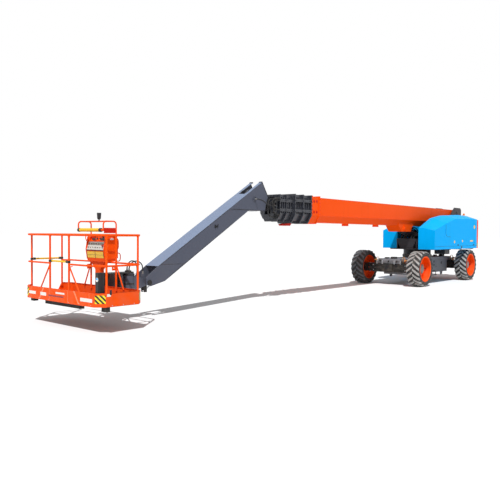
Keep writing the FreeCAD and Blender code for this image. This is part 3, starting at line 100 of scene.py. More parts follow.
class Tree:
    """The shader nodes of a world or a material, with short ways to add to them."""

    def __init__(self, owner):
        owner.use_nodes = True
        self.nodes, self.links = owner.node_tree.nodes, owner.node_tree.links

    def feed(self, socket, value):
        """Sets a socket to a plain value or links it to another socket."""
        if isinstance(value, bpy.types.NodeSocket):
            self.links.new(value, socket)
        else:
            socket.default_value = value

    def add(self, kind, **values):
        node = self.nodes.new("ShaderNode" + kind)
        for name, value in values.items():
            self.feed(node.inputs[name.replace("_", " ")], value)
        return node

    def math(self, operation, *values):
        node = self.add("Math")
        node.operation = operation
        for socket, value in zip(node.inputs, values):
            self.feed(socket, value)
        return node.outputs[0]

    def times(self, first, second):
        return self.math("MULTIPLY", first, second)

    def white_to_rays(self):
        """1 for rays that should see a white background: the camera's, reflected and refracted ones."""
        path = self.add("LightPath").outputs
        either = self.math("MAXIMUM", path["Is Camera Ray"], path["Is Glossy Ray"])
        return self.math("MAXIMUM", either, path["Is Transmission Ray"])


# ---------------- camera and light
def make_camera():
    """The standing viewer's camera, ahead of the basket on the left side."""
    forward = Vector((math.sin(CAMERA_YAW) * math.cos(CAMERA_PITCH),
                      math.cos(CAMERA_YAW) * math.cos(CAMERA_PITCH), math.sin(CAMERA_PITCH)))
    right = Vector((math.cos(CAMERA_YAW), -math.sin(CAMERA_YAW), 0.0))
    up = right.cross(forward)
    rolled_right = right * math.cos(CAMERA_ROLL) - up * math.sin(CAMERA_ROLL)
    rolled_up = up * math.cos(CAMERA_ROLL) + right * math.sin(CAMERA_ROLL)
    data = bpy.data.cameras.new("camera")
    data.lens = CAMERA_LENS
    data.clip_start, data.clip_end = 0.1, 500.0
    camera = put("camera", data)
    turn = Matrix((rolled_right, rolled_up, -forward)).transposed()
    camera.matrix_world = Matrix.Translation(CAMERA_PLACE) @ turn.to_4x4()
    bpy.context.scene.camera = camera


def make_world():
    world = bpy.data.worlds.new("studio")
    bpy.context.scene.world = world
    tree = Tree(world)
    tree.nodes.clear()
    soft = tree.add("Background", Color=(0.97, 0.98, 1.0, 1.0), Strength=SKY_STRENGTH)
    white = tree.add("Background", Color=(1.0, 1.0, 1.0, 1.0), Strength=1.0)
    mix = tree.add("MixShader")
    for socket, source in zip(mix.inputs, (tree.white_to_rays(), soft.outputs[0], white.outputs[0])):
        tree.feed(socket, source)
    tree.add("OutputWorld", Surface=mix.outputs[0])


def make_sun():
    data = bpy.data.lights.new("sun", "SUN")
    data.energy = SUN_STRENGTH
    data.angle = math.radians(1.0)
    sun = put("sun", data)
    sun.rotation_mode = "QUATERNION"
    sun.rotation_quaternion = SUN_SLANT.to_track_quat("-Z", "Y")


def make_floor():
    mesh = bpy.data.meshes.new("studio_floor")
    reach = (-FLOOR_HALF, FLOOR_HALF)
    mesh.from_pydata(four(reach, reach, lambda x, y: (x, y, 0)), [], [(0, 1, 2, 3)])
    floor = put("studio_floor", mesh)
    material = bpy.data.materials.new("floor_white")
    tree = Tree(material)
    tree.nodes.clear()
    diffuse = tree.add("BsdfDiffuse", Color=(FLOOR_GREY, FLOOR_GREY, FLOOR_GREY, 1.0))
    glow = tree.add("Emission", Strength=tree.times(tree.white_to_rays(), FLOOR_GLOW))
    both = tree.add("AddShader")
    tree.feed(both.inputs[0], diffuse.outputs[0])
    tree.feed(both.inputs[1], glow.outputs[0])
    tree.add("OutputMaterial", Surface=both.outputs[0])
    mesh.materials.append(material)


# ---------------- materials
def rgb(red, green, blue):
    """A display colour from 0 to 255 as the renderer's linear colour."""
    def linear(value):
        share = value / 255
        return share / 12.92 if share <= 0.04045 else ((share + 0.055) / 1.055) ** 2.4
    return linear(red), linear(green), linear(blue), 1.0


def scaled(colour, share):
    return tuple(c * share for c in colour[:3]) + (1.0,)


class Shade(Tree):
    """A material whose colour is built up in layers over one Principled shader."""

    def __init__(self, name, colour, rough, metallic=0.0):
        self.material = bpy.data.materials.new(name)
        super().__init__(self.material)
        self.shader = self.nodes["Principled BSDF"].inputs
        self.shader["Base Color"].default_value = colour
        self.shader["Roughness"].default_value = rough
        self.shader["Metallic"].default_value = metallic
        self.place = self.add("TexCoord").outputs["Object"]
        self.colour = colour

    def noise(self, scale, detail=4.0, stretch=None):
        place = self.place
        if stretch:
            place = self.add("Mapping", Vector=place, Scale=stretch).outputs[0]
        return self.add("TexNoise", Vector=place, Scale=scale, Detail=detail).outputs["Fac"]

    def ramp(self, value, low, high):
        """0 under low, 1 over high."""
        return self.add("MapRange", Value=value, From_Min=low, From_Max=high).outputs["Result"]

    def layer(self, amount, colour):
        """Another colour over what is there, where amount is 1."""
        node = self.add("Mix")
        node.data_type = "RGBA"
        for socket, value in ((0, amount), (6, self.colour), (7, colour)):
            self.feed(node.inputs[socket], value)
        self.colour = node.outputs[2]
        self.feed(self.shader["Base Color"], self.colour)

    def height(self):
        return self.add("SeparateXYZ", Vector=self.place).outputs["Z"]

    def roughness(self, value, low, high):
        spread = self.add("MapRange", Value=value, To_Min=low, To_Max=high)
        self.feed(self.shader["Roughness"], spread.outputs["Result"])

    def bump(self, value, depth, distance=0.002):
        node = self.add("Bump", Height=value, Strength=depth, Distance=distance)
        self.feed(self.shader["Normal"], node.outputs["Normal"])

    def edges(self, radius):
        """Where the surface turns within radius of an edge."""
        bevel = self.add("Bevel", Radius=radius)
        bevel.samples = 4
        dot = self.nodes.new("ShaderNodeVectorMath")
        dot.operation = "DOT_PRODUCT"
        self.feed(dot.inputs[0], bevel.outputs[0])
        self.feed(dot.inputs[1], self.add("NewGeometry").outputs["Normal"])
        return self.math("SUBTRACT", 1.0, dot.outputs["Value"])


def paint(name, colour, rough=0.36, dust=0.22, wear=0.35, shine=0.25):
    """Sprayed coating: faint mottling, road dust low down, rubbed edges, orange peel."""
    shade = Shade(name, colour, rough)
    shade.layer(shade.times(shade.noise(1.7), 0.35), scaled(colour, 0.8))
    streaks = shade.noise(4.0, 6.0, stretch=(1.0, 1.0, 0.12))
    shade.layer(shade.times(shade.ramp(streaks, 0.55, 0.85), 0.3), scaled(colour, 0.72))
    low = shade.times(shade.ramp(shade.height(), 1.3, 0.1), shade.ramp(shade.noise(6.0), 0.35, 0.75))
    shade.layer(shade.times(low, dust), rgb(150, 138, 120))
    patches = shade.times(shade.ramp(shade.noise(22.0), 0.45, 0.7), wear)
    shade.layer(shade.times(shade.ramp(shade.edges(0.006), 0.02, 0.25), patches), rgb(190, 186, 180))
    shade.roughness(shade.noise(9.0), rough - 0.07, rough + 0.1)
    shade.bump(shade.noise(260.0, 2.0), 0.06)
    shade.shader["Specular IOR Level"].default_value = shine
    return shade.material


def rubber(name, colour, dusty=0.5):
    shade = Shade(name, colour, 0.82)
    shade.layer(shade.times(shade.ramp(shade.noise(9.0, 6.0), 0.4, 0.75), dusty), rgb(120, 113, 102))
    shade.bump(shade.noise(120.0, 5.0), 0.25)
    return shade.material


def plastic(name, colour, rough=0.5):
    shade = Shade(name, colour, rough)
    shade.layer(shade.times(shade.noise(14.0), 0.25), scaled(colour, 0.7))
    shade.bump(shade.noise(500.0, 2.0), 0.18, 0.0006)
    return shade.material


def metal(name, colour, rough):
    shade = Shade(name, colour, rough, 1.0)
    shade.layer(shade.times(shade.noise(35.0, stretch=(1.0, 1.0, 6.0)), 0.3), scaled(colour, 0.72))
    shade.roughness(shade.noise(60.0), rough * 0.7, rough * 1.5)
    return shade.material


def hazard(name):
    """Slanting black and yellow bars, laid out along the piece's own UV map in metres."""
    bar_pitch = 0.082
    shade = Shade(name, rgb(238, 214, 40), 0.42)
    split = shade.add("SeparateXYZ", Vector=shade.add("TexCoord").outputs["UV"]).outputs
    along = shade.times(shade.math("ADD", split["X"], split["Y"]), 1 / bar_pitch)
    shade.layer(shade.math("GREATER_THAN", shade.math("FRACT", along), 0.5), rgb(24, 24, 24))
    shade.layer(shade.times(shade.ramp(shade.noise(26.0), 0.55, 0.8), 0.3), rgb(120, 116, 100))
    return shade.material


def mesh_floor(name):
    """Expanded-metal floor sheet: slanted openings, painted dark as the shade seen through them."""
    shade = Shade(name, rgb(196, 84, 42), 0.5, 0.2)
    turn = (0.0, 0.0, math.pi / 4)
    slanted = shade.add("Mapping", Vector=shade.place, Scale=(1.0, 0.5, 1.0), Rotation=turn)
    cells = shade.add("TexChecker", Vector=slanted.outputs[0], Scale=60.0).outputs["Fac"]
    # The dark cells are painted shade in the openings.
    shade.layer(cells, rgb(70, 40, 30))
    shade.bump(cells, 0.5, 0.003)
    return shade.material


MATERIALS = {
    "orange": paint("orange_paint", rgb(250, 84, 6), rough=0.44, shine=0.08),
    "deep_orange": paint("deep_orange_paint", rgb(205, 30, 6), rough=0.42, shine=0.16),
    "blue": paint("blue_paint", rgb(0, 176, 252), rough=0.46, shine=0.04),
    "slate": paint("slate_paint", rgb(84, 88, 102), rough=0.42, shine=0.16),
    # A paler, bluer copy of the slate: painted light for the jib's top face.
    "slate_painted_light": paint("slate_painted_top_light", rgb(122, 137, 164), rough=0.38, shine=0.14),
    "dark": paint("dark_paint", rgb(52, 50, 54), rough=0.46),
    "sections": paint("section_paint", rgb(50, 52, 60), rough=0.3, wear=0.75, shine=0.55),
    "grey": paint("grey_paint", rgb(126, 127, 133), rough=0.48, dust=0.4),
    "black": paint("black_paint", rgb(30, 30, 33), rough=0.44, dust=0.35),
    "cast": paint("cast_grey", rgb(122, 120, 118), rough=0.55, shine=0.3),
    "yellow": paint("yellow_paint", rgb(246, 196, 44), rough=0.42, shine=0.16),
    # A paler copy of the orange: painted highlight on the toe board's strips.
    "orange_painted_highlight": paint("orange_painted_highlight_strips", rgb(255, 138, 92), rough=0.4, shine=0.3),
    "hose": rubber("hose_rubber", rgb(20, 20, 22), 0.12),
    "tread": rubber("tyre_rubber", rgb(42, 42, 45), 0.35),
    # Lug tops: a pale copy painted as sunlit for the left tyres, a dark copy painted as shade for the right
    # tyres.
    "lug_tops_painted_lit": rubber("tyre_tops_painted_light", rgb(168, 167, 165), 0.5),
    "lug_tops_painted_shade": rubber("tyre_tops_painted_shade", rgb(92, 96, 102), 0.3),
    "rubber": rubber("trim_rubber", rgb(26, 26, 28), 0.2),
    "yellow_soft": rubber("yellow_sleeve", rgb(252, 190, 40), 0.1),
    "plastic": plastic("black_plastic", rgb(26, 26, 29)),
    "pale_plastic": plastic("pale_plastic", rgb(206, 204, 196), 0.42),
    "label": plastic("blank_label", rgb(236, 234, 228), 0.35),
    "label_yellow": plastic("blank_yellow_label", rgb(244, 200, 48), 0.35),
    "red_lens": plastic("red_lens", rgb(150, 16, 20), 0.25),
    "amber": plastic("amber_lens", rgb(240, 120, 30), 0.2),
    "chrome": metal("chrome", (0.8, 0.8, 0.82, 1.0), 0.14),
    "zinc": metal("zinc_plate", (0.55, 0.55, 0.57, 1.0), 0.38),
    "brass": metal("brass_fittings", (0.8, 0.42, 0.16, 1.0), 0.36),
    "floor_sheet": mesh_floor("floor_sheet"),
    "hazard": hazard("hazard_bars"),
}
NODE_STARTS = {
    "orange": ("rim", "counterweight", "boom_base_section", "toe_boards", "basket_top_rail",
               "basket_lower_rails", "control_console", "console_pedestal", "console_guard"),
    "blue": ("left_cowl", "left_hood", "right_cowl", "right_hood"),
    "black": ("knuckle", "axle_beam", "axle_housing", "level_link", "basket_support"),
    "dark": ("turntable_frame", "lift_cylinder_barrel", "jib_cylinder_barrel", "level_cylinder_barrel"),
    "chrome": ("lift_cylinder_rod", "jib_cylinder_rod", "level_cylinder_rod"),
    "slate": ("jib_boom", "platform_mount"),
    "sections": ("boom_section", "boom_tip"),
    "yellow": ("front_gate_bar", "side_gate_bar"),
    "hose": ("pivot_hose", "loop_hose", "arch_hose"),
    "cast": ("slewing_ring", "engine_block"),
    "grey": ("chassis_frame",),
    "tread": ("tyre",),
    "rubber": ("bumper_bars",),
    "plastic": ("junction_box",),
    "floor_sheet": ("basket_floor",),
}


def dress_nodes():
    """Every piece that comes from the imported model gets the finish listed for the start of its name."""
    for name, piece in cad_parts.items():
        finish = next(key for key, starts in NODE_STARTS.items() if name.startswith(starts))
        piece.data.materials.clear()
        piece.data.materials.append(MATERIALS[finish])


# ---------------- making pieces
def spokes(axis, count):
    """Unit vectors spread evenly round an axis."""
    turn = axis.to_track_quat("Z", "Y").to_matrix()
    angles = (math.tau * step / count for step in range(count))
    return [turn @ Vector((math.cos(t), math.sin(t), 0.0)) for t in angles]


def half_round(middle, across, up, count):
    """Half of an ellipse in count steps."""
    return [middle + across * math.cos(t) + up * math.sin(t)
            for t in (math.pi * step / count for step in range(count + 1))]


SHARP_ANGLE = math.radians(32)


class Maker:
    """Collects solids that become one piece."""

    def __init__(self):
        self.mesh = bmesh.new()

    def skin(self, loops, around=True, closed=False):
        """A surface over loops of points: around each loop or not, and back to the first or capped."""
        rows = [[self.mesh.verts.new(place) for place in loop] for loop in loops]
        for now, following in zip(rows, rows[1:] + (rows[:1] if closed else [])):
            for a in range(len(now) if around else len(now) - 1):
                b = (a + 1) % len(now)
                self.mesh.faces.new((now[a], now[b], following[b], following[a]))
        if not closed:
            self.mesh.faces.new(rows[0])
            self.mesh.faces.new(reversed(rows[-1]))
        return self

    def box(self, low, high, turn=None):
        low, high = Vector(low), Vector(high)
        place = Matrix.Translation((low + high) / 2)
        size = Matrix.Diagonal((*(high - low), 1.0))
        bmesh.ops.create_cube(self.mesh, size=1.0, matrix=place @ (turn or Matrix()) @ size)
        return self

    def slab(self, x, reach, z, side):
        """A box between two distances from the middle plane, on the side (-1 or 1) given."""
        near, far = sorted((side * reach[0], side * reach[1]))
        return self.box((x[0], near, z[0]), (x[1], far, z[1]))

    def rod(self, start, end, radius, sides=20, end_radius=None):
        start, end = Vector(start), Vector(end)
        along = end - start
        place = Matrix.Translation((start + end) / 2) @ along.to_track_quat("Z", "Y").to_matrix().to_4x4()
        bmesh.ops.create_cone(self.mesh, cap_ends=True, segments=sides, radius1=radius,
                              radius2=radius if end_radius is None else end_radius, depth=along.length,
                              matrix=place)
        return self

    def stack(self, place, way, *rods):
        """Rods in line along way: each is (from, to, radius, sides, end radius), counted from place."""
        for start, end, *shape in rods:
            self.rod(Vector(place) + way * start, Vector(place) + way * end, *shape)
        return self

    def bolt(self, place, way, size):
        """A washer and a hexagonal head standing on place."""
        washer = (-size * 0.1, size * 0.25, size * 1.35, 16)
        return self.stack(place, way, washer, (0.0, size * 0.95, size, 6))

    def bolts(self, xs, ys, zs, way, size):
        """A bolt for every mix of the places along X, Y and Z."""
        for place in product(xs, ys, zs):
            self.bolt(place, way, size)
        return self

    def ring(self, middle, way, radius, count, size):
        """Bolts on a circle, heads along way."""
        for spoke in spokes(way, count):
            self.bolt(Vector(middle) + spoke * radius, way, size)
        return self

    def prism(self, outline, way, depth):
        """A flat plate: outline is a list of 3-D corners, way the direction it is thick in."""
        return self.skin([outline, [Vector(corner) + way * depth for corner in outline]])

    def revolve(self, profile, middle, axis, steps=48):
        """Turns (radius, along) points round the axis through middle."""
        around = spokes(axis, steps)
        loops = [[Vector(middle) + spoke * r + axis * h for r, h in profile] for spoke in around]
        return self.skin(loops, closed=True)

    def tube(self, points, radius, sides=8):
        """A bent bar through points, its corners rounded off."""
        rounded = [Vector(place) for place in points]
        for _ in range(3):
            cut = [rounded[0]]
            for a, b in zip(rounded, rounded[1:]):
                cut += [a.lerp(b, 0.25), a.lerp(b, 0.75)]
            rounded = cut + [rounded[-1]]
        side = (rounded[1] - rounded[0]).orthogonal().normalized()
        angles = [math.tau * k / sides for k in range(sides)]
        loops = []
        for index, place in enumerate(rounded):
            ahead = (rounded[min(index + 1, len(rounded) - 1)] - rounded[max(index - 1, 0)]).normalized()
            side = (side - ahead * side.dot(ahead)).normalized()
            third = ahead.cross(side)
            loops.append([place + (side * math.cos(t) + third * math.sin(t)) * radius for t in angles])
        return self.skin(loops)

    def piece(self, name, body, material, slot, bevel=0.0, uv=None):
        """Turns what was collected into an object that rides on a body."""
        bmesh.ops.translate(self.mesh, verts=self.mesh.verts, vec=X * SLEW_X)
        bmesh.ops.recalc_face_normals(self.mesh, faces=self.mesh.faces)
        data = bpy.data.meshes.new(name)
        self.mesh.to_mesh(data)
        self.mesh.free()
        if uv:
            layer = data.uv_layers.new(name="along")
            for loop in data.loops:
                place = data.vertices[loop.vertex_index].co
                layer.data[loop.index].uv = (place.dot(uv[0]), place.dot(uv[1]))
        data.shade_smooth()
        data.set_sharp_from_angle(angle=SHARP_ANGLE)
        data.materials.append(MATERIALS[material])
        made = put(name, data)
        if bevel:
            edge = made.modifiers.new("edge", "BEVEL")
            edge.width, edge.segments, edge.limit_method = bevel, 2, "ANGLE"
        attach(made, body)
        return made


# ---------------- wheels
LUGS = 20
LUG_LEAN = 0.3
LUG_FOOT = 0.036
LUG_HALF, LUG_SPREAD, LUG_CROWN = 0.036, 0.01, 0.82
# Along a lug: how far out from the middle as a share of half the width, and its top as a share of the radius.
LUG_STATIONS = ((0.02, 1.0), (0.34, 1.0), (0.7, 0.998), (0.9, 0.98), (1.0, 0.925))
TREAD_SINK = 0.03
DISC_INSET = 0.205


def tyre_body(middle, radius, half_width, bead):
    """Carcass outline: bead, bulging side wall, shoulder, then a tread base sunk under the lugs."""
    side = [(bead, 0.82), (bead + 0.02, 0.93), (radius * 0.8, 0.985), (radius * 0.88, 0.98),
            (radius * 0.925, 0.92), (radius - TREAD_SINK, 0.78)]
    profile = [(r, -y * half_width) for r, y in side] + [(r, y * half_width) for r, y in reversed(side)]
    return Maker().revolve(profile, middle, Y, 72)


def tyre_lugs(middle, radius, half_width):
    """Chevron bars: each runs from the middle to a shoulder, leaning round the wheel."""
    maker = Maker()
    for side, number in product(SIDES, range(LUGS)):
        start = math.tau * (number + (0.5 if side > 0 else 0.0)) / LUGS
        rows = []
        for share, top in LUG_STATIONS:
            lean, half = start + LUG_LEAN * share, (LUG_HALF + LUG_SPREAD * share) / radius
            crown = radius * top
            foot = min(radius - LUG_FOOT, crown)
            section = ((-half, foot), (-half * LUG_CROWN, crown), (half * LUG_CROWN, crown), (half, foot))
            rows.append([middle + Vector((r * math.cos(lean + turn), side * share * half_width,
                                          r * math.sin(lean + turn))) for turn, r in section])
        maker.skin(rows, around=False)
    return maker


def make_wheel(corner):
    body = "wheel_" + corner
    low, high = packed_box("tyre_" + corner)
    middle, radius, half_width = (low + high) / 2, (high.z - low.z) / 2, (high.y - low.y) / 2
    rim_low, rim_high = packed_box("rim_" + corner)
    bead = (rim_high.z - rim_low.z) / 2
    # Lug tops are painted lit on the left tyres and painted in shade on the right tyres.
    out, tops = (-Y, "lug_tops_painted_lit") if "left" in corner else (Y, "lug_tops_painted_shade")
    carcass = tyre_body(middle, radius, half_width, bead)
    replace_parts(carcass.piece("tyre_carcass_" + corner, body, "tread", "tyre_rubber"), "tyre_" + corner)
    lugs = tyre_lugs(middle, radius, half_width)
    lugs.piece("tyre_lugs_" + corner, body, tops, "tyre_rubber", bevel=0.004)
    face = middle + out * half_width
    disc = face - out * DISC_INSET
    hub = Maker().ring(disc + out * 0.078, out, 0.1, 8, 0.009)
    hub.revolve([(0.0, 0.0), (0.15, 0.0), (0.15, 0.06), (0.128, 0.078), (0.07, 0.084), (0.0, 0.084)],
                disc, out)
    hub.piece("hub_cover_" + corner, body, "cast", "rim_orange", bevel=0.002)
    Maker().ring(disc, out, 0.215, 10, 0.019).piece("wheel_nuts_" + corner, body, "zinc", "rim_orange")
    lip = [(bead - 0.028, -0.006), (bead + 0.006, -0.004), (bead + 0.008, 0.01), (bead - 0.012, 0.012)]
    rim = Maker().revolve(lip, face - out * 0.022, out, 72)
    rim.piece("rim_lip_" + corner, body, "orange", "rim_orange")
    valve = Maker().stack(disc + X * 0.33, out, (0.0, 0.05, 0.007, 10))
    valve.piece("valve_" + corner, body, "rubber", "tyre_rubber")


# ---------------- hoses
HOSE_RADIUS = 0.012
BULKHEAD_X = -8.655
SWIVEL = (-9.4, -0.24, 2.52)
PIVOT_ROUTE = [(BULKHEAD_X, -0.262, 2.4), (-8.765, -0.262, 2.4), (-8.87, -0.296, 2.392),
               (-8.97, -0.346, 2.388), (-9.065, -0.388, 2.393), (-9.15, -0.414, 2.408),
               (-9.232, -0.422, 2.432), (-9.306, -0.422, 2.467), (-9.366, -0.382, 2.501),
               (-9.4, -0.315, 2.52), SWIVEL]
LOOP_ROUTE = [(BULKHEAD_X, -0.262, 2.49), (-8.8, -0.262, 2.49), (-8.864, -0.268, 2.453),
              (-8.901, -0.276, 2.389), (-8.901, -0.276, 2.315), (-8.864, -0.268, 2.251),
              (-8.8, -0.262, 2.214), (BULKHEAD_X, -0.262, 2.214)]
ARCH_X = -12.661
CAP_X = -12.95


def arch_route(side):
    return [(ARCH_X, side * 0.09, 0.88), (ARCH_X, side * 0.09, 1.03),
            (ARCH_X - 0.039, side * 0.08, 1.097), (ARCH_X - 0.106, side * 0.068, 1.136),
            (ARCH_X - 0.183, side * 0.056, 1.136), (ARCH_X - 0.25, side * 0.044, 1.097),
            (CAP_X, side * 0.034, 1.03), (CAP_X, side * 0.034, 0.955)]


def ferrule(maker, place, way):
    """A nut and a crimped sleeve, standing on the fitting that holds a hose."""
    maker.stack(place, way, (0.0, 0.016, 0.021, 6), (0.016, 0.055, 0.0155, 16))


def make_hose(node, body, places):
    route = [(x + SLEW_X, y, z) for x, y, z in places]
    curve = bpy.data.curves.new(node + "_line", "CURVE")
    curve.dimensions = "3D"
    curve.bevel_depth = HOSE_RADIUS
    curve.bevel_resolution = 4
    spline = curve.splines.new("NURBS")
    spline.points.add(len(route) - 1)
    for point, place in zip(spline.points, route):
        point.co = (*place, 1.0)
    spline.order_u = 3
    spline.use_endpoint_u = True
    spline.resolution_u = 10
    curve.materials.append(MATERIALS["hose"])
    made = put(node + "_line", curve)
    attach(made, body)
    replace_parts(made, node)


def make_hoses():
    make_hose("pivot_hose", "boom_4", PIVOT_ROUTE)
    make_hose("loop_hose", "boom_4", LOOP_ROUTE)
    tip_ends, arch_ends = Maker(), Maker()
    for place in (PIVOT_ROUTE[0], LOOP_ROUTE[0], LOOP_ROUTE[-1]):
        ferrule(tip_ends, place, -X)
    ferrule(tip_ends, SWIVEL, -Y)
    tip_ends.piece("tip_hose_ends", "boom_4", "cast", "cylinder_black")
    for side, name in NAMED_SIDES:
        route = arch_route(side)
        make_hose("arch_hose_" + name, "rotator", route)
        ferrule(arch_ends, route[0], Z)
        ferrule(arch_ends, route[-1], Z)
    arch_ends.piece("arch_hose_ends", "rotator", "cast", "cylinder_black")


# ---------------- jib and boom tip
JIB_HALF = 0.2
JIB_TOP = 0.217
JIB_BOTTOM = -0.14
JIB_BOX_END = 3.31
JIB_TAIL = 0.468
LOWER_PIN_U, LOWER_PIN_N = 3.66, 0.06
LAP_LOW = 1.045
SKIN = 0.006


def pin_cap(maker, place, side, shape, circle):
    """A round plate over a pin's end and its screws; shape is (thickness, radius, sides)."""
    thick, radius, sides = shape
    maker.stack(place, Y * side, (0.0, thick, radius, sides))
    maker.ring(Vector(place) + Y * side * thick, Y * side, *circle)


def make_jib():
    # The top sheet is a paler, bluer slate than the sides: painted light on the jib's upward face.
    sheet = Maker()
    edge, gap, gap_end = JIB_HALF - 0.003, 0.105, 0.135
    for u, y in (((gap_end, JIB_BOX_END), (-edge, edge)), ((-JIB_TAIL, gap_end), (-edge, -gap)),
                 ((-JIB_TAIL, gap_end), (gap, edge))):
        sheet.prism(four(u, y, lambda a, b: jib_at(a, b, JIB_TOP)), JIB_RISE, 0.003)
    sheet.piece("jib_top_sheet", "jib", "slate_painted_light", "jib_slate")

    laps, welds, tail_dark_bars = Maker(), Maker(), Maker()
    for side in SIDES:
        y = side * JIB_HALF
        lower = [(3.3, -0.134), (3.655, -0.018), (3.735, 0.06), (3.668, 0.18), (3.33, 0.212)]
        laps.prism(at_y(y, (-12.262, LAP_LOW), (-11.69, LAP_LOW)) + [jib_at(u, y, n) for u, n in lower],
                   Y * side, SKIN)
        laps.prism([jib_at(-0.44, y, 0.205), jib_at(0.93, y, 0.205)]
                   + at_y(y, (-10.11, 2.262), (-9.02, 2.262), (-8.9, 2.59)), Y * side, SKIN)
        y = side * (JIB_HALF + 0.001)
        for n in (JIB_TOP - 0.006, JIB_BOTTOM + 0.01):
            welds.tube([jib_at(0.95, y, n), jib_at(3.22, y, n)], 0.004, 6)
        welds.tube(at_y(y, (-10.24, 2.252), (-9.0, 2.252)), 0.005, 6)
        welds.tube(at_y(y, (-12.27, LAP_LOW + 0.004), (-11.66, LAP_LOW + 0.004)), 0.005, 6)
        # Dark bars along the tail's top and rear edges.
        y = side * (JIB_HALF - 0.008)
        corner = Vector((-8.88, y, 2.6))
        tail_dark_bars.tube([jib_at(-JIB_TAIL, y, JIB_TOP), corner], 0.014)
        tail_dark_bars.tube([corner, (-8.99, y, 2.252)], 0.012)
        tail_dark_bars.tube([jib_at(-JIB_TAIL, side * reach, JIB_TOP) for reach in (0.106, 0.198)], 0.018)
    laps.piece("jib_doublers", "jib", "slate", "jib_slate", bevel=0.002)
    welds.piece("jib_welds", "jib", "dark", "jib_slate")
    tail_dark_bars.piece("jib_tail_dark_bars", "jib", "rubber", "jib_slate")

    caps = Maker()
    pin_cap(caps, JIB_PIVOT + Y * JIB_HALF, 1, (0.012, 0.072, 32), (0.048, 6, 0.009))
    caps.ring(JIB_PIVOT - Y * (JIB_HALF + 0.014), -Y, 0.05, 6, 0.008)
    for side in SIDES:
        place = jib_at(LOWER_PIN_U, side * (JIB_HALF + SKIN), LOWER_PIN_N)
        pin_cap(caps, place, side, (0.014, 0.052, 28), (0.034, 4, 0.008))
    caps.piece("jib_pin_caps", "jib", "black", "cylinder_black", bevel=0.002)

    ports = Maker()
    for u, n in ((1.4, 0.085), (1.44, 0.055), (1.5, 0.075), (1.47, 0.115)):
        ports.stack(jib_at(u, -JIB_HALF, n), -Y, (0.0, 0.018, 0.014, 8))
    port = jib_at(1.46, -JIB_HALF, 0.08)
    ports.box(port - Vector((0.05, 0.006, 0.018)), port + Vector((0.05, 0.0, 0.018)))
    ports.piece("jib_side_ports", "jib", "black", "cylinder_black", bevel=0.001)


def make_boom_tip():
    bolts = Maker().bolts((-8.63,), (-0.16, 0.0, 0.16), (2.15,), -X, 0.01)
    for side in SIDES:
        bolts.ring(JIB_PIVOT + Y * side * 0.095, Y * side, 0.15, 8, 0.01)
    bolts.piece("tip_bolts", "boom_4", "zinc", "cylinder_black")
    bends = Maker()
    for y, top, low, reach in ((-0.322, 2.56, 2.3, 0.185), (-0.318, 2.52, 2.18, 0.13),
                               (-0.29, 2.585, 2.14, 0.09), (-0.245, 2.56, 2.105, 0.25)):
        back, near, far = (BULKHEAD_X - way for way in (-0.1, reach * 0.5, reach))
        bends.tube(at_y(y, (back, top + 0.015), (near, top), (far, top - 0.03),
                        (BULKHEAD_X - reach * 1.15, (top + low) / 2), (far, low + 0.03), (near, low),
                        (back, low - 0.01)), 0.017, 12)
    bends.piece("tip_pipe_bends", "boom_4", "hose", "hose_black")
    plate = Maker().box((-8.668, -0.205, 2.6), (BULKHEAD_X, 0.205, 2.622))
    plate.ring((BULKHEAD_X, -0.262, 2.32), -X, 0.026, 4, 0.006)
    for z in (2.44, 2.36, 2.28):
        plate.stack((BULKHEAD_X, -0.232, z), -X, (0.0, 0.024, 0.01, 6))
    plate.piece("tip_bulkhead_fittings", "boom_4", "black", "cylinder_black")


# Body, X from and to, half width, top, and how far the frames at both ends stand proud.
HEADS = (("boom_2", -7.95, -7.2, 0.275, 2.655, 0.07), ("boom_3", -8.53, -7.96, 0.25, 2.63, 0.055))
RIB_PITCH = 0.082


def make_head(body, x0, x1, half, top, rise):
    """Ribs, pads and screws on the head of a telescoping section; its frames stand rise proud."""
    ribs, bolts = Maker(), Maker()
    margin = 0.03
    span = x1 - x0 - 2 * margin
    count = round(span / RIB_PITCH)
    for number, side in product(range(1, count), SIDES):
        x = x0 + margin + span * number / count
        ribs.slab((x - 0.006, x + 0.006), (half, half + 0.042), (2.225, top - 0.01), side)
    for x, y in product((x0 + 0.12, x1 - 0.12), (-0.14, 0.14)):
        ribs.box((x - 0.05, y - 0.045, top - 0.001), (x + 0.05, y + 0.045, top + 0.026))
    ribs.piece("head_ribs_" + body, body, "sections", "section_dark", bevel=0.0015)
    rail = [x0 + 0.1 + number * (x1 - x0 - 0.2) / 3 for number in range(4)]
    for side in SIDES:
        bolts.bolts((x0 + 0.015, (x0 + x1) / 2, x1 - 0.015), (side * (half + rise),),
                    (2.26, 2.36, 2.46, 2.56), Y * side, 0.0095)
        bolts.bolts(rail, (side * (half + rise - 0.014),), (2.295, top - 0.095), Y * side, 0.008)
    bolts.bolts((x0,), (-0.2, -0.1, 0.0, 0.1, 0.2), (top + rise - 0.03,), -X, 0.009)
    bolts.piece("head_bolts_" + body, body, "black", "cylinder_black")


def make_roller_bracket():
    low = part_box("boom_section_2")[0].z
    bracket = Maker()
    outline = [(-7.74, 0.004), (-7.8, -0.06), (-8.08, -0.06), (-8.12, -0.02), (-7.94, 0.004)]
    for y in (-0.075, 0.055):
        bracket.prism([(x, y, low + z) for x, z in outline], Y, 0.02)
    bracket.stack((-8.05, -0.075, low - 0.035), Y, (0.0, 0.15, 0.02, 18))
    bracket.box((-7.9, -0.06, low - 0.052), (-7.78, 0.06, low - 0.04))
    bracket.piece("head_roller_bracket", "boom_2", "deep_orange", "boom_orange", bevel=0.002)


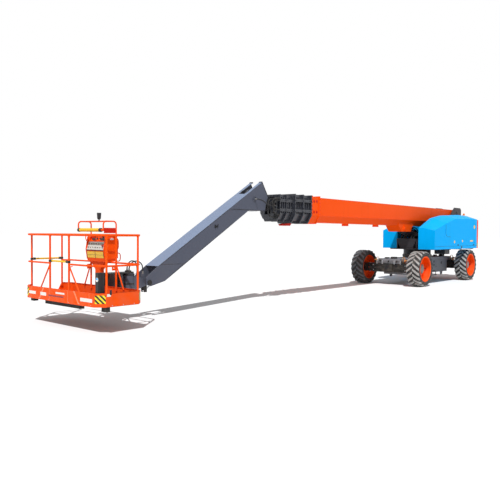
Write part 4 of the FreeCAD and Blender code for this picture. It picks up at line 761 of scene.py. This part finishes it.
def make_boom_base():
    screws, pins, seams = Maker(), Maker(), Maker()
    collar_x, collar_y = (-7.07, -6.94), 0.318
    for side in SIDES:
        out = Y * side
        for x, z in product(collar_x, (2.29, 2.58)):
            screws.stack((x, side * collar_y, z), out, (0.0, 0.01, 0.034, 24))
            screws.bolt((x, side * (collar_y + 0.01), z), out, 0.013)
        screws.bolts((-7.17, -6.82), (side * 0.34,), (2.24, 2.34, 2.44, 2.54, 2.63), out, 0.01)
        pin_cap(pins, (-1.55, side * 0.264, 1.9), side, (0.01, 0.052, 28), (0.032, 3, 0.009))
        pins.slab((-1.6, -1.5), (0.242, 0.254), (1.993, 2.037), side)
        for y, z in ((0.301, 2.2), (0.299, 2.679)):
            seams.tube(at_y(side * y, (-6.75, z), (2.95, z)), 0.004, 6)
        seams.bolts((-4.97, -3.12), (side * 0.06,), (1.975,), out, 0.016)
    screws.bolts(collar_x, (-0.18, 0.0, 0.18), (2.698,), Z, 0.014)
    screws.piece("collar_screws", "boom_base", "deep_orange", "boom_orange")
    pins.piece("lift_eye_pin_ends", "boom_base", "orange", "boom_orange", bevel=0.002)
    seams.piece("boom_seams", "boom_base", "orange", "boom_orange")
    tail = Maker().bolts((3.0,), (-0.2, 0.2), (2.3, 2.56), X, 0.012)
    tail.box((3.0, -0.26, 2.6), (3.012, 0.26, 2.655))
    tail.piece("boom_tail_plate", "boom_base", "dark", "section_dark", bevel=0.002)
    switch = Maker().box((-6.62, 0.3, 2.44), (-6.5, 0.352, 2.54))
    switch.stack((-6.62, 0.326, 2.49), -X, (0.0, 0.06, 0.012, 12))
    switch.piece("boom_limit_switch", "boom_base", "plastic", "section_dark", bevel=0.004)


def dress_cylinder(name, ends, radius, start, length, screw, port, line):
    """Gland ring, ports and a feed line on a barrel that points to -X; ends are (x, z) places."""
    low, high = at_y(0.0, *ends)
    along = (high - low).normalized()
    up = Y.cross(along)
    maker = Maker().stack(low, along, (length - 0.07, length - 0.035, radius + 0.007, 36))
    maker.ring(low + along * (length - 0.036), along, radius - 0.012, 8, screw)
    for reach in (start, length - 0.085):
        maker.stack(low + along * reach + up * radius, up, (-0.01, 0.03, port, 12))
    bends = ((start, 0.02), (start + 0.05, 0.034), (length - 0.14, 0.034), (length - 0.085, 0.02))
    maker.tube([low + along * reach + up * (radius + lift) for reach, lift in bends], line)
    for share in (0.3, 0.7):
        clamp = low + along * (start + share * (length - start)) + up * radius
        maker.box(clamp - Vector((0.012, 0.018, 0.006)), clamp + Vector((0.012, 0.018, 0.04)))
    maker.piece(name + "_barrel_fittings", name + "_barrel", "black", "cylinder_black", bevel=0.0015)


def make_cylinders():
    dress_cylinder("lift", ((1.3, 1.44), (-1.55, 1.9)), 0.105, 0.22, 2.48, 0.008, 0.024, 0.008)
    dress_cylinder("jib", ((-7.5, 2.345), (-9.04, 2.312)), 0.05, 0.14, 1.3, 0.004, 0.015, 0.005)


# ---------------- turret
TABLE_TOP = 1.21
TABLE_FRONT = -0.88


def make_turret():
    x = TABLE_FRONT
    face = Maker().prism([(x, -0.215, 1.235), (x, 0.215, 1.235), (x, 0.345, 1.52), (x, -0.345, 1.52)],
                         -X, 0.008)
    for z, half in ((1.262, 0.205), (1.49, 0.31)):
        face.box((x - 0.02, -half, z), (x - 0.006, half, z + 0.014))
    for y, z in ((0.33, 1.505), (0.2, 1.25)):
        face.bolts((x - 0.008,), (-y, y), (z,), -X, 0.011)
    face.piece("turret_nose_cover", "turret", "dark", "turret_dark", bevel=0.002)

    block, lines = Maker().box((-0.74, -0.2, TABLE_TOP), (-0.42, 0.2, 1.37)), Maker()
    for number in range(4):
        y = -0.15 + 0.1 * number
        block.stack((-0.58, y, 1.37), Z, (0.0, 0.085, 0.022, 16))
        block.stack((-0.74, y, 1.29), -X, (0.0, 0.045, 0.018, 12))
    block.piece("turret_valve_block", "turret", "black", "engine_metal", bevel=0.002)
    for number in range(6):
        y = -0.235 + 0.094 * number
        lines.tube([(-0.79, y, 1.3), (-0.83, y, 1.36), (-0.82, y, 1.62 + 0.02 * (number % 2)),
                    (-0.55, y * 0.9, 1.72), (-0.2, y * 0.8, 1.6), (0.1, y * 0.8, TABLE_TOP)], 0.013)
    lines.piece("turret_feed_pipes", "turret", "black", "turret_dark")

    slew = Maker().stack((-0.392, -0.392, 0.0), Z, (0.9, 0.99, 0.052, 16), (0.99, 1.18, 0.03, 20),
                         (TABLE_TOP, 1.36, 0.085, 28), (1.36, 1.5, 0.06, 24))
    slew.ring((-0.392, -0.392, 1.215), Z, 0.1, 6, 0.01)
    slew.piece("slew_drive", "turret", "cast", "engine_metal", bevel=0.002)

    under = Maker().box((-0.62, -0.6, 1.06), (-0.3, -0.28, 1.18))
    under.box((-0.15, -1.1, 1.02), (0.28, -0.72, 1.2))
    under.stack((-0.15, -0.91, 1.1), -X, (0.0, 0.04, 0.03, 16))
    under.piece("turret_underside_boxes", "turret", "black", "turret_dark", bevel=0.006)


def make_towers():
    """Pipes beside the two pivot towers, and the caps and bolts on their outer faces."""
    pipes, caps = Maker(), Maker()
    face = 0.39
    for side in SIDES:
        for number in range(5):
            back = 0.05 * (number % 3)
            bends = ((back - 0.02, TABLE_TOP), (back - 0.14, 1.52), (back - 0.06, 1.86),
                     (0.34, 2.00 - back), (0.92, 1.94 - back), (1.22, 1.56))
            pipes.tube(at_y(side * (0.425 + 0.04 * number), *bends), 0.019, 10)
        pin_cap(caps, (2.72, side * 0.415, 2.43), side, (0.012, 0.085, 32), (0.06, 6, 0.011))
        caps.slab((2.65, 2.79), (face, face + 0.014), (2.567, 2.623), side)
        caps.bolts((2.5, 3.04), (side * face,), (2.68,), Y * side, 0.013)
        caps.bolts((1.2, 1.4), (side * face,), (1.42,), Y * side, 0.012)
    pipes.piece("tower_side_pipes", "turret", "hose", "turret_dark")
    caps.piece("boom_pivot_caps", "turret", "dark", "turret_dark", bevel=0.002)


def make_slewing_ring():
    teeth, radius, height = 90, 0.506, 0.945
    half = Vector((0.009, 0.008, 0.035))
    ring = Maker()
    for number in range(teeth):
        turn = Matrix.Rotation(math.tau * number / teeth, 4, "Z")
        tooth = turn @ Vector((radius, 0, height))
        ring.box(tooth - half, tooth + half, turn)
    ring.piece("ring_gear_teeth", "chassis", "cast", "axle_black")
    bolts = Maker().ring((0.0, 0.0, 0.88), Z, 0.405, 30, 0.011)
    bolts.piece("ring_inner_bolts", "chassis", "zinc", "axle_black")


# ---------------- cowls and counterweight
COWL_SKIN = 1.2195  # half a millimetre inside the cowls' outer faces, for what is fixed on them


def make_left_cowl():
    """Seams, handle, blank stickers, sill latch and roof lamp on the left side."""
    face, grip = -1.22, -1.2405
    seams, handle, discs = Maker(), Maker(), Maker()
    seams.tube(at_y(face, (-0.37, 2.04), (-0.37, 1.632), (0.04, 1.632)), 0.0045, 6)
    seams.tube(at_y(face, (-1.25, 1.302), (2.6, 1.302)), 0.003, 6)
    seams.piece("left_hood_door_seam", "turret", "rubber", "turret_dark")
    handle.tube([(-0.46, face + 0.001, 1.93), (-0.46, grip, 1.91), (-0.46, grip, 1.73),
                 (-0.46, face + 0.001, 1.71)], 0.007)
    handle.stack((-0.46, -1.2185, 1.65), -Y, (0.0, 0.0095, 0.02, 20))
    handle.piece("left_cowl_handle", "turret", "blue", "cowl_blue")
    for x, z, radius in ((0.41, 1.45, 0.048), (1.16, 1.48, 0.042), (2.34, 2.01, 0.07)):
        discs.stack((x, -COWL_SKIN, z), -Y, (0.0, 0.0017, radius, 32))
    discs.box((1.92, -COWL_SKIN - 0.0017, 1.455), (2.2, -COWL_SKIN, 1.505))
    discs.piece("left_blank_stickers", "left_hood", "label_yellow", "cowl_blue")
    latch = Maker().box((1.04, -1.2255, 1.215), (1.12, -1.2205, 1.295))
    latch.stack((1.08, -1.2205, 1.255), -Y, (0.0, 0.0155, 0.014, 16))
    latch.piece("left_sill_latch", "turret", "plastic", "turret_dark", bevel=0.002)
    lamp = Maker().stack((2.2, -0.86, 2.452), Z, (0.0, 0.018, 0.05, 24), (0.018, 0.073, 0.036, 24, 0.028))
    lamp.piece("roof_lamp", "left_hood", "amber", "counterweight_orange", bevel=0.003)


def make_right_cowl():
    """Louvres and the exhaust's stub on the right side."""
    slats = Maker()
    for number in range(9):
        z = 1.62 + 0.042 * number
        slats.prism([(1.62, COWL_SKIN, z), (1.62, COWL_SKIN + 0.012, z - 0.012),
                     (1.62, COWL_SKIN, z - 0.016)], X, 0.62)
    slats.piece("right_hood_louvres", "right_hood", "blue", "cowl_blue")
    pipe = Maker().tube([(1.3, 0.97, 2.36), (1.3, 0.97, 2.52), (1.36, 0.97, 2.6)], 0.042, 16)
    pipe.piece("exhaust_stub", "turret", "cast", "engine_metal")


def make_hood_latches():
    for side, body, front in ((-1, "left_hood", 0.55), (1, "right_hood", 0.3)):
        latches = Maker()
        for x in (front + 0.2, 2.3):
            latches.slab((x - 0.05, x + 0.05), (COWL_SKIN, 1.226), (1.318, 1.358), side)
            latches.stack((x, side * 1.2255, 1.338), Y * side, (0.0, 0.0105, 0.012, 14))
        latches.piece(body + "_latches", body, "black", "turret_dark", bevel=0.002)


def make_counterweight():
    rear = 3.15
    plate = Maker().box((rear - 0.001, -0.34, 1.3), (rear + 0.004, 0.34, 1.62))
    plate.piece("rear_blank_plate", "turret", "label", "counterweight_orange", bevel=0.001)
    bolts = Maker().bolts((rear - 0.004,), (-0.62, -0.2, 0.2, 0.62), (1.27, 1.76), X, 0.014)
    bolts.piece("counterweight_bolts", "turret", "orange", "counterweight_orange")
    bars = Maker()
    for side, name in NAMED_SIDES:
        lamp = Maker().slab((rear - 0.002, rear + 0.006), (0.64, 0.76), (2.02, 2.09), side)
        lamp.piece("rear_lamp_" + name, "turret", "red_lens", "counterweight_orange", bevel=0.003)
        eye = at_y(side * 0.86, (2.86, 2.279), (2.86, 2.335), (2.96, 2.335), (2.96, 2.279))
        Maker().tube(eye, 0.013, 10).piece("lifting_eye_" + name, "turret", "black", "turret_dark")
        bars.slab((2.63, 2.74), (1.215, 1.2165), (1.26, 1.4), side)
    bars.piece("counterweight_hazard", "turret", "hazard", "counterweight_orange", uv=(X, Z))


# ---------------- chassis
FRAME_Y = 0.45
# Holes by X and Z; plates by X from and to, Z from and to.
FRAME_HOLES = ((0.46, 0.6), (0.46, 0.72), (-0.38, 0.6), (1.12, 0.66), (-1.2, 0.66))
COVER_PLATES = ((-0.2, 0.34, 0.42, 0.76), (0.62, 0.98, 0.5, 0.8), (-1.02, -0.56, 0.5, 0.8))


def make_chassis():
    plates, holes, steps = Maker(), Maker(), Maker()
    for side in SIDES:
        out = Y * side
        for x0, x1, z0, z1 in COVER_PLATES:
            plates.slab((x0, x1), (FRAME_Y, FRAME_Y + 0.01), (z0, z1), side)
            plates.bolts((x0 + 0.035, x1 - 0.035), (side * (FRAME_Y + 0.01),), (z0 + 0.035, z1 - 0.035),
                         out, 0.01)
        for place in at_y(side * FRAME_Y, *FRAME_HOLES):
            holes.revolve([(0.03, 0.0), (0.046, 0.0), (0.046, 0.006), (0.03, 0.006)], place, out, 24)
            # The dark disc in each rim is painted shade for the open hole.
            holes.stack(place, out, (0.0, 0.002, 0.03, 24))
        y = side * (FRAME_Y + 0.15)
        for x in (-0.42, 0.28):
            steps.tube([(x, side * FRAME_Y, 0.4), (x, y, 0.4), (x, y, 0.26)], 0.013)
        steps.box((-0.44, y - 0.045, 0.245), (0.3, y + 0.045, 0.262))
    plates.piece("frame_cover_plates", "chassis", "grey", "chassis_grey", bevel=0.0015)
    holes.piece("frame_hole_rims_painted_shade", "chassis", "dark", "chassis_grey")
    steps.piece("side_steps", "chassis", "black", "axle_black", bevel=0.002)


def make_axle_middle(end, name):
    """Boxes, fittings and pipes on the fixed middle of an axle; end is -1 at the basket's end."""
    def span(near, far):
        return sorted((end * near, end * far))

    boxes, brass, pipes, clips, pads = (Maker() for _ in range(5))
    for x, y, top in (((1.88, 2.08), (-0.17, -0.02), 0.945), ((1.92, 2.04), (0.1, 0.22), 0.925)):
        low, high = span(*x)
        boxes.box((low, y[0], 0.88), (high, y[1], top))
    for y in (-0.3, 0.0, 0.3):
        boxes.stack((end * 2.17, y, 0.8), X * end, (0.0, 0.04, 0.026, 18))
    low, high = span(2.136, 2.205)
    boxes.box((low, -0.13, 0.46), (high, 0.13, 0.69))
    boxes.piece("axle_boxes_" + name, "chassis", "black", "axle_black", bevel=0.003)

    x = end * 2.04
    for side in SIDES:
        y, inner = side * 0.52, side * 0.43
        brass.stack((x, y, 0.0), Z, (0.728, 0.86, 0.03, 16))
        brass.stack((x, y, 0.83), Y * side, (0.0, 0.075, 0.022, 14))
        brass.tube([(x, y, 0.85), (x, y, 0.925), (x, inner, 0.925), (x, inner, 0.74)], 0.011)
        brass.stack((end * 2.1, y, 0.0), Z, (0.728, 0.8, 0.02, 12))
        pads.bolts((end * 2.153,), (side * 0.585,), (0.5, 0.655), X * end, 0.011)
        pads.bolts((end * 1.93, end * 2.07), (side * 0.585,), (0.7285,), Z, 0.011)
    brass.piece("axle_fittings_" + name, "chassis", "brass", "axle_black", bevel=0.0015)
    pads.piece("axle_pad_screws_" + name, "chassis", "zinc", "axle_black")
    for number in range(4):
        x, z = end * (2.15 + 0.018 * (number % 2)), 0.735 + 0.022 * number
        inner = x - end * 0.05
        pipes.tube([(inner, -0.56, z - 0.02), (x, -0.5, z), (x, -0.1, z + 0.012), (x, 0.12, z - 0.01),
                    (x, 0.5, z), (inner, 0.56, z - 0.02)], 0.008)
    pipes.piece("axle_pipes_" + name, "chassis", "black", "axle_black")
    low, high = span(2.135, 2.18)
    for y in (-0.42, -0.2, 0.24, 0.44):
        clips.box((low, y - 0.011, 0.7), (high, y + 0.011, 0.826))
    clips.piece("axle_pipe_clips_" + name, "chassis", "zinc", "axle_black", bevel=0.001)


def make_axle_end(corner):
    """Steering cylinder on a sliding beam, and plugs round its kingpin fork."""
    side, end, body = (-1 if "left" in corner else 1), (1 if "front" in corner else -1), "axle_" + corner
    out, x = Y * side, end * 2.205
    barrel, plugs = Maker(), Maker()
    barrel.slab(sorted((x - end * 0.1, x + end * 0.03)), (0.666, 0.688), (0.545, 0.612), side)
    middle = (x, 0.0, 0.578)
    barrel.stack(middle, out, (0.235, 0.26, 0.024, 20), (0.26, 0.66, 0.032, 24), (0.64, 0.668, 0.038, 24))
    barrel.piece("steer_cylinder_" + corner, body, "black", "axle_black", bevel=0.002)
    rod = Maker().stack(middle, out, (0.668, 0.735, 0.015, 18))
    rod.piece("steer_rod_" + corner, body, "chrome", "rod_chrome")
    fork = Vector((end * 2.0, side * 0.8005, 0.5775))
    for way in (-Z, Z):
        plugs.stack(fork, way, (0.145, 0.152, 0.04, 24))
        plugs.ring(fork + way * 0.1452, way, 0.052, 5, 0.006)
    plugs.piece("kingpin_caps_" + corner, body, "zinc", "axle_black")


# ---------------- basket
BASKET_FRONT = -14.46
BASKET_REAR = -13.5
BASKET_HALF = 1.235
CHAMFER = 0.15
RAIL_X = -14.4376
RAIL_INSET = 0.0223
TOE_TOP = 0.69
GATE_Z = 1.181
GATE_FRONT, GATE_REAR = -14.3007, -13.6591
DIP = 0.13
DIP_SLOPE = 0.07
LIP_WIDTH = 0.0165
LIP_THICK = 0.004
LOW_LIP = 0.4615


def make_hazard_panels():
    """A hazard panel on each cut corner of the toe boards, and one on the front at the far end."""
    edge, low, height = 0.012, 0.52, 0.14
    for x, x_way, row in ((BASKET_FRONT, 1, "front_"), (BASKET_REAR, -1, "rear_")):
        for side, name in NAMED_SIDES:
            y = side * BASKET_HALF
            start = Vector((x + x_way * edge, y - side * (CHAMFER - edge), low))
            end = Vector((x + x_way * (CHAMFER - edge), y - side * edge, low))
            out = Vector((-x_way, side, 0.0)).normalized()
            panel = Maker().prism([start, end, end + Z * height, start + Z * height], out, 0.0016)
            panel.piece("hazard_" + row + name, "basket", "hazard", "basket_orange",
                        uv=((end - start).normalized(), Z))
    panel = Maker().box((BASKET_FRONT - 0.0014, 1.03, 0.5), (BASKET_FRONT + 0.001, 1.082, 0.66))
    panel.piece("hazard_front_end", "basket", "hazard", "basket_orange", uv=(Y, Z))


def make_toe_lips():
    """Folded lips along the toe boards' edges; the far board's top one follows the dip at its gate."""
    lips = Maker()
    front, rear = (BASKET_FRONT, BASKET_FRONT + CHAMFER), (BASKET_REAR, BASKET_REAR - CHAMFER)
    half = (BASKET_HALF - CHAMFER, BASKET_HALF)
    ring = [(front[1], -half[1]), (rear[1], -half[1]), (rear[0], -half[0]), (rear[0], half[0]),
            (rear[1], half[1]), (front[1], half[1]), (front[0], half[0]), (front[0], -half[0])]
    gate = (GATE_FRONT - DIP_SLOPE, GATE_REAR + DIP_SLOPE)
    for start, end in zip(ring, ring[1:] + ring[:1]):
        a, b = Vector((*start, 0.0)), Vector((*end, 0.0))
        inward = Z.cross(b - a).normalized() * LIP_WIDTH
        top_runs = [(a, b)]
        if start[1] == end[1] == half[1]:
            dip_rear, dip_front = (Vector((x, half[1], 0.0)) for x in reversed(gate))
            top_runs = [(a, dip_rear), (dip_front, b)]
        for z, runs in ((TOE_TOP - LIP_THICK, top_runs), (LOW_LIP, [(a, b)])):
            for c, d in runs:
                lips.prism([c + Z * z, d + Z * z, d + inward + Z * z, c + inward + Z * z], Z, LIP_THICK)
    dip = [(gate[0], TOE_TOP), (GATE_FRONT, TOE_TOP - DIP), (GATE_REAR, TOE_TOP - DIP), (gate[1], TOE_TOP)]
    for one, other in zip(dip, dip[1:]):
        outer, inner = at_y(half[1], one, other), at_y(half[1] - LIP_WIDTH, other, one)
        lips.prism([place - Z * LIP_THICK for place in outer + inner], Z, LIP_THICK)
    lips.piece("toe_board_lips", "basket", "orange", "basket_orange")


def make_toe_boards():
    labels, strips, bolts = Maker(), Maker(), Maker()
    label_x, strip_x = ((BASKET_FRONT - proud, BASKET_FRONT + 0.001) for proud in (0.0012, 0.001))
    for y0, y1, z0, z1 in ((-1.04, -0.69, 0.535, 0.595), (-0.2, 0.09, 0.604, 0.634),
                           (0.41, 0.61, 0.54, 0.6), (0.78, 1.02, 0.545, 0.6)):
        labels.box((label_x[0], y0, z0), (label_x[1], y1, z1))
    labels.box((-14.305, -BASKET_HALF - 0.0012, 0.636), (-14.232, -BASKET_HALF + 0.001, 0.68))
    labels.piece("toe_board_blank_labels", "basket", "label", "basket_orange")
    red = Maker().box((label_x[0], -0.17, 0.546), (label_x[1], 0.33, 0.572))
    red.piece("toe_board_red_label", "basket", "red_lens", "basket_orange")
    # The slanted brace strip and the upright strips on the front board are painted in a paler orange as
    # highlights.
    for side in SIDES:
        slant = ((0.477, TOE_TOP), (0.517, TOE_TOP), (0.66, 0.48), (0.62, 0.48))
        strips.prism([(BASKET_FRONT, side * y, z) for y, z in slant], -X, 0.0012)
        for y in (0.95, 0.3):
            strips.slab(strip_x, (y - 0.004, y + 0.004), (0.462, 0.688), side)
        for x in (-14.2, -13.98, -13.75):
            bolts.stack((x, side * (BASKET_HALF - 0.001), 0.484), Y * side, (0.0, 0.0025, 0.007, 10))
    strips.piece("toe_board_strips", "basket", "orange_painted_highlight", "basket_orange")
    for y in (-1.0, -0.66, -0.33, 0.33, 0.66, 1.0):
        bolts.stack((BASKET_FRONT + 0.001, y, 0.484), -X, (0.0, 0.0025, 0.007, 10))
        bolts.bolt((BASKET_REAR - 0.0005, y, 0.484), X, 0.007)
    bolts.piece("toe_board_bolts", "basket", "zinc", "basket_orange")


def gate_grips(name, body, start, end):
    """Black grips on a sliding bar, next to its two sleeves."""
    along = (Vector(end) - Vector(start)).normalized()
    grips = Maker()
    for place, way in ((start, along), (end, -along)):
        grips.stack(place, way, (0.024, 0.075, 0.0235, 20))
        grips.stack(place, Z, (-0.0195, 0.0195, 0.025, 20))
    grips.piece(name, body, "rubber", "gate_yellow", bevel=0.002)


def make_gates():
    side_y = BASKET_HALF - RAIL_INSET
    gate_grips("front_gate_grips", "front_gate", (RAIL_X, -0.31, GATE_Z), (RAIL_X, 0.31, GATE_Z))
    gate_grips("side_gate_grips", "side_gate", (GATE_FRONT, side_y, GATE_Z), (GATE_REAR, side_y, GATE_Z))
    lever = Maker().stack((RAIL_X, -0.338, 1.122), -X, (0.0, 0.014, 0.012, 12))
    lever.tube([(RAIL_X - 0.005, -0.315, 1.13), (RAIL_X - 0.012, -0.375, 1.095),
                (RAIL_X - 0.012, -0.43, 1.11)], 0.009)
    lever.piece("gate_lever", "basket", "orange", "basket_orange")
    collars = Maker()
    posts = ((RAIL_X, 0.31), (BASKET_REAR - RAIL_INSET, 0.4), (GATE_FRONT, side_y), (GATE_REAR, side_y))
    for (x, y), side in product(posts, SIDES):
        collars.stack((x, side * y, 0.0), Z, (0.625, 0.64, 0.0205, 20), (1.612, 1.632, 0.02, 20))
    collars.piece("post_collars", "basket", "orange", "basket_orange")


def make_floor_ribs():
    ribs = Maker()
    for number in range(23):
        y = -1.15 + 0.1 * number
        ribs.box((-14.33, y - 0.004, 0.4995), (-13.63, y + 0.004, 0.5035))
    ribs.piece("floor_grip_ribs", "basket", "zinc", "basket_orange")


# ---------------- console
CONSOLE_X = -13.71
CONSOLE_LOW = 1.1563


class Slope:
    """A leaning face that runs straight across: along points up it, out stands on it."""

    def __init__(self, low, high):
        self.low = Vector((CONSOLE_X + low[0], 0.0, CONSOLE_LOW + low[1]))
        rise = Vector((high[0] - low[0], 0.0, high[1] - low[1]))
        self.length, self.along = rise.length, rise.normalized()
        self.out = Vector((-self.along.z, 0.0, self.along.x))

    def at(self, up, y, lift=0.0):
        return self.low + self.along * up + Y * y + self.out * lift

    def plate(self, maker, ups, ys, depth):
        maker.prism(four(ys, ups, lambda y, up: self.at(up, y)), self.out, depth)


def make_console_panel():
    """The pale switch panel with its two rows of blank switches and the stop knob."""
    slope = Slope((0.0, 0.21), (0.06, 0.37))
    panel, knobs = Maker(), Maker()
    slope.plate(panel, (0.006, slope.length - 0.004), (-0.268, 0.268), 0.004)
    panel.piece("console_panel", "basket", "pale_plastic", "console_orange", bevel=0.002)
    for row, number in product(range(2), range(7)):
        place = slope.at(0.051 + 0.07 * row, -0.225 + 0.075 * number, 0.004)
        if (row + number) % 3:
            knobs.stack(place, slope.out, (0.0, 0.01, 0.0095, 16), (0.01, 0.03, 0.0035, 10))
        else:
            knobs.stack(place, slope.out, (0.0, 0.014, 0.012, 20))
    knobs.piece("console_switches", "basket", "cast", "box_black", bevel=0.001)
    stop = Maker().stack(slope.at(0.084, -0.225, 0.004), slope.out, (0.0, 0.012, 0.014, 20),
                         (0.012, 0.026, 0.02, 24))
    stop.piece("console_stop_knob", "basket", "red_lens", "console_orange", bevel=0.002)


def make_console_face():
    """Blank plates and dark trim on the face under the switch panel."""
    slope = Slope((0.03, 0.0), (0.0, 0.21))
    plates, trim = Maker(), Maker()
    for ys in ((-0.262, -0.008), (0.008, 0.262)):
        slope.plate(plates, (0.066, 0.186), ys, 0.002)
    plates.piece("console_blank_plates", "basket", "label_yellow", "console_orange", bevel=0.0008)
    slope.plate(trim, (slope.length - 0.008, slope.length + 0.004), (-0.272, 0.272), 0.007)
    slope.plate(trim, (0.122, 0.127), (-0.262, 0.262), 0.003)
    for y in (-0.262, -0.001, 0.262):
        slope.plate(trim, (0.06, 0.192), (y - 0.004, y + 0.004), 0.004)
    trim.piece("console_trim", "basket", "dark", "box_black", bevel=0.001)


def make_console_deck():
    """Joysticks, the blocks beside them and the hand guards on the console's leaning top."""
    deck = Slope((0.13, 0.411), (0.3, 0.511))
    sticks, guards = Maker(), Maker()
    boot = [(0.0, -0.008), (0.04, -0.008), (0.036, 0.01), (0.024, 0.022), (0.017, 0.032), (0.0, 0.034)]
    for y, height in ((0.13, 0.085), (-0.12, 0.1), (-0.21, 0.085)):
        place = deck.at(0.0, y)
        sticks.revolve(boot, place, deck.out, 24)
        sticks.stack(place, deck.out, (0.02, height, 0.011, 16),
                     (height - 0.045, height + 0.012, 0.019, 18, 0.015))
    for y0, y1 in ((-0.275, -0.06), (0.07, 0.19)):
        corner = deck.low + Vector((-0.062, y0, -0.014))
        sticks.box(corner, corner + Vector((0.012, y1 - y0, 0.04)))
    sticks.piece("console_joysticks", "basket", "plastic", "box_black", bevel=0.0015)
    hoop = ((-0.062, -0.032), (-0.075, 0.055), (0.045, 0.1), (0.11, 0.03))
    for y in (-0.262, -0.03, 0.05, 0.262):
        guards.tube([deck.low + place for place in at_y(y, *hoop)], 0.007)
    guards.piece("console_hand_guards", "basket", "orange", "console_orange")


def make_console_end():
    """The bulging cover on the console's left end, its D-shaped window and a loop handle."""
    face, corners, round_off = -0.29, 28, 0.6
    middle = Vector((-13.535, face, 1.48))
    outline = []
    for step in range(corners):
        cos, sin = math.cos(math.tau * step / corners), math.sin(math.tau * step / corners)
        outline.append(middle + Vector((math.copysign(0.14 * abs(cos) ** round_off, cos), 0.0,
                                        math.copysign(0.13 * abs(sin) ** round_off, sin))))
    cover = Maker().prism(outline, -Y, 0.026)
    cover.box((middle.x - 0.145, face - 0.014, 1.35), (middle.x + 0.1, face, 1.365))
    cover.piece("console_end_cover", "basket", "orange", "console_orange", bevel=0.01)
    arc = half_round(Vector((middle.x - 0.02, face - 0.0262, 1.56)), X * 0.045, Z * 0.036, 12)
    Maker().prism(arc, -Y, 0.002).piece("console_end_window", "basket", "label", "console_orange")
    handle = at_y(-0.25, (-13.402, 1.31), (-13.318, 1.31), (-13.318, 1.16), (-13.402, 1.16))
    Maker().tube(handle, 0.009).piece("console_loop", "basket", "orange", "console_orange")
    bars = Maker()
    foot = (CONSOLE_X + 0.04, 0.292, 1.5)
    for y in (0.34, 0.43):
        bars.tube([(-13.56, y + 0.05, 1.64), (-13.64, y, 1.6), foot], 0.009)
    bars.piece("console_side_bars", "basket", "orange", "console_orange")


def make_cage():
    """The sensing bar in its soft sleeve, a side plate and the warning lamp over the console."""
    bar = (-13.7999, 0.0, 1.74)
    sleeve = Maker().stack(bar, Y, (-0.29, 0.335, 0.033, 28))
    sleeve.piece("sensing_bar_sleeve", "basket", "yellow_soft", "gate_yellow", bevel=0.003)
    ends = Maker().stack(bar, Y, (0.335, 0.392, 0.036, 24), (-0.345, -0.29, 0.036, 24))
    ends.piece("sensing_bar_ends", "basket", "rubber", "rubber_black", bevel=0.004)
    # The side plate's deep orange is painted shade.
    plate = Maker().box((-13.788, -0.402, 1.684), (-13.514, -0.398, 1.78))
    plate.box((-13.528, -0.402, 1.668), (-13.516, -0.398, 1.684))
    plate.piece("cage_side_plate_painted_shade", "basket", "deep_orange", "console_orange", bevel=0.001)
    lamp = Maker().stack((-13.74, -0.18, 0.0), Z, (1.905, 1.935, 0.012, 14),
                         (1.935, 1.955, 0.026, 24, 0.034), (1.955, 2.055, 0.034, 28, 0.04))
    lamp.piece("cage_warning_lamp", "basket", "plastic", "box_black", bevel=0.004)


def make_junction_box():
    low, high = packed_box("junction_box")
    lid, disc = Maker(), Maker()
    lid.box((low.x - 0.004, low.y + 0.008, low.z + 0.01), (low.x + 0.001, high.y - 0.008, high.z - 0.01))
    lid.bolts((low.x - 0.004,), (low.y + 0.018, high.y - 0.018), (low.z + 0.022, high.z - 0.022),
              -X, 0.0045)
    lid.piece("junction_lid", "basket", "plastic", "box_black", bevel=0.002)
    socket = Vector((low.x, (low.y + high.y) / 2, 0.915))
    disc.stack(socket, -X, (0.0, 0.006, 0.036, 32))
    disc.piece("junction_socket", "basket", "label", "box_black", bevel=0.001)
    cap = half_round(socket - X * 0.0062, Y * 0.03, Z * 0.03, 14)
    Maker().prism(cap, -X, 0.0012).piece("junction_socket_cap", "basket", "blue", "cowl_blue")
    clip = Maker().box((-14.252, -BASKET_HALF - 0.004, 0.665), (-14.212, -BASKET_HALF + 0.004, 0.745))
    clip.piece("toe_board_clip", "basket", "plastic", "box_black", bevel=0.002)


def make_yoke():
    covers, rings = Maker(), Maker()
    band = [(0.119, -0.012), (0.127, -0.01), (0.127, 0.01), (0.119, 0.012)]
    covers.box((-13.4655, -0.085, 0.64), (-13.335, 0.085, 0.76))
    covers.stack((-13.335, 0.0, 0.7), X, (0.0, 0.035, 0.03, 20))
    covers.box((-13.181, -0.095, 0.61), (-13.12, 0.095, 0.77))
    for y in (-0.05, 0.05):
        covers.stack((-13.4, y, 0.76), Z, (0.0, 0.055, 0.018, 16))
        covers.stack((-13.15, y, 0.77), Z, (0.0, 0.03, 0.014, 12))
    covers.piece("yoke_valve_covers", "basket", "plastic", "box_black", bevel=0.003)
    bolts = Maker().bolts((-13.48,), (-0.26, -0.18, 0.18, 0.26), (0.56, 0.7, 0.84), X, 0.012)
    bolts.ring((CAP_X, 0.0, 0.49), -Z, 0.08, 8, 0.009)
    bolts.piece("yoke_bolts", "basket", "zinc", "cylinder_black")
    for z in (0.525, 0.7, 0.875):
        rings.revolve(band, (CAP_X, 0.0, z), Z)
    for side in SIDES:
        rings.ring(jib_at(LOWER_PIN_U, side * 0.11, LOWER_PIN_N), Y * side, 0.044, 5, 0.006)
    rings.piece("rotator_bands", "rotator", "black", "axle_black")


# ---------------- main
make_camera()
make_hoses()
make_world()
make_sun()
make_floor()
dress_nodes()
for corner in CORNERS:
    make_wheel(corner)
    make_axle_end(corner)
make_jib()
make_boom_tip()
for head in HEADS:
    make_head(*head)
make_roller_bracket()
make_boom_base()
make_cylinders()
make_turret()
make_towers()
make_slewing_ring()
make_left_cowl()
make_right_cowl()
make_hood_latches()
make_counterweight()
make_chassis()
make_axle_middle(-1, "rear")
make_axle_middle(1, "front")
make_hazard_panels()
make_toe_lips()
make_toe_boards()
make_gates()
make_floor_ribs()
make_console_panel()
make_console_face()
make_console_deck()
make_console_end()
make_cage()
make_junction_box()
make_yoke()

bpy.context.scene.view_settings.view_transform = "Standard"
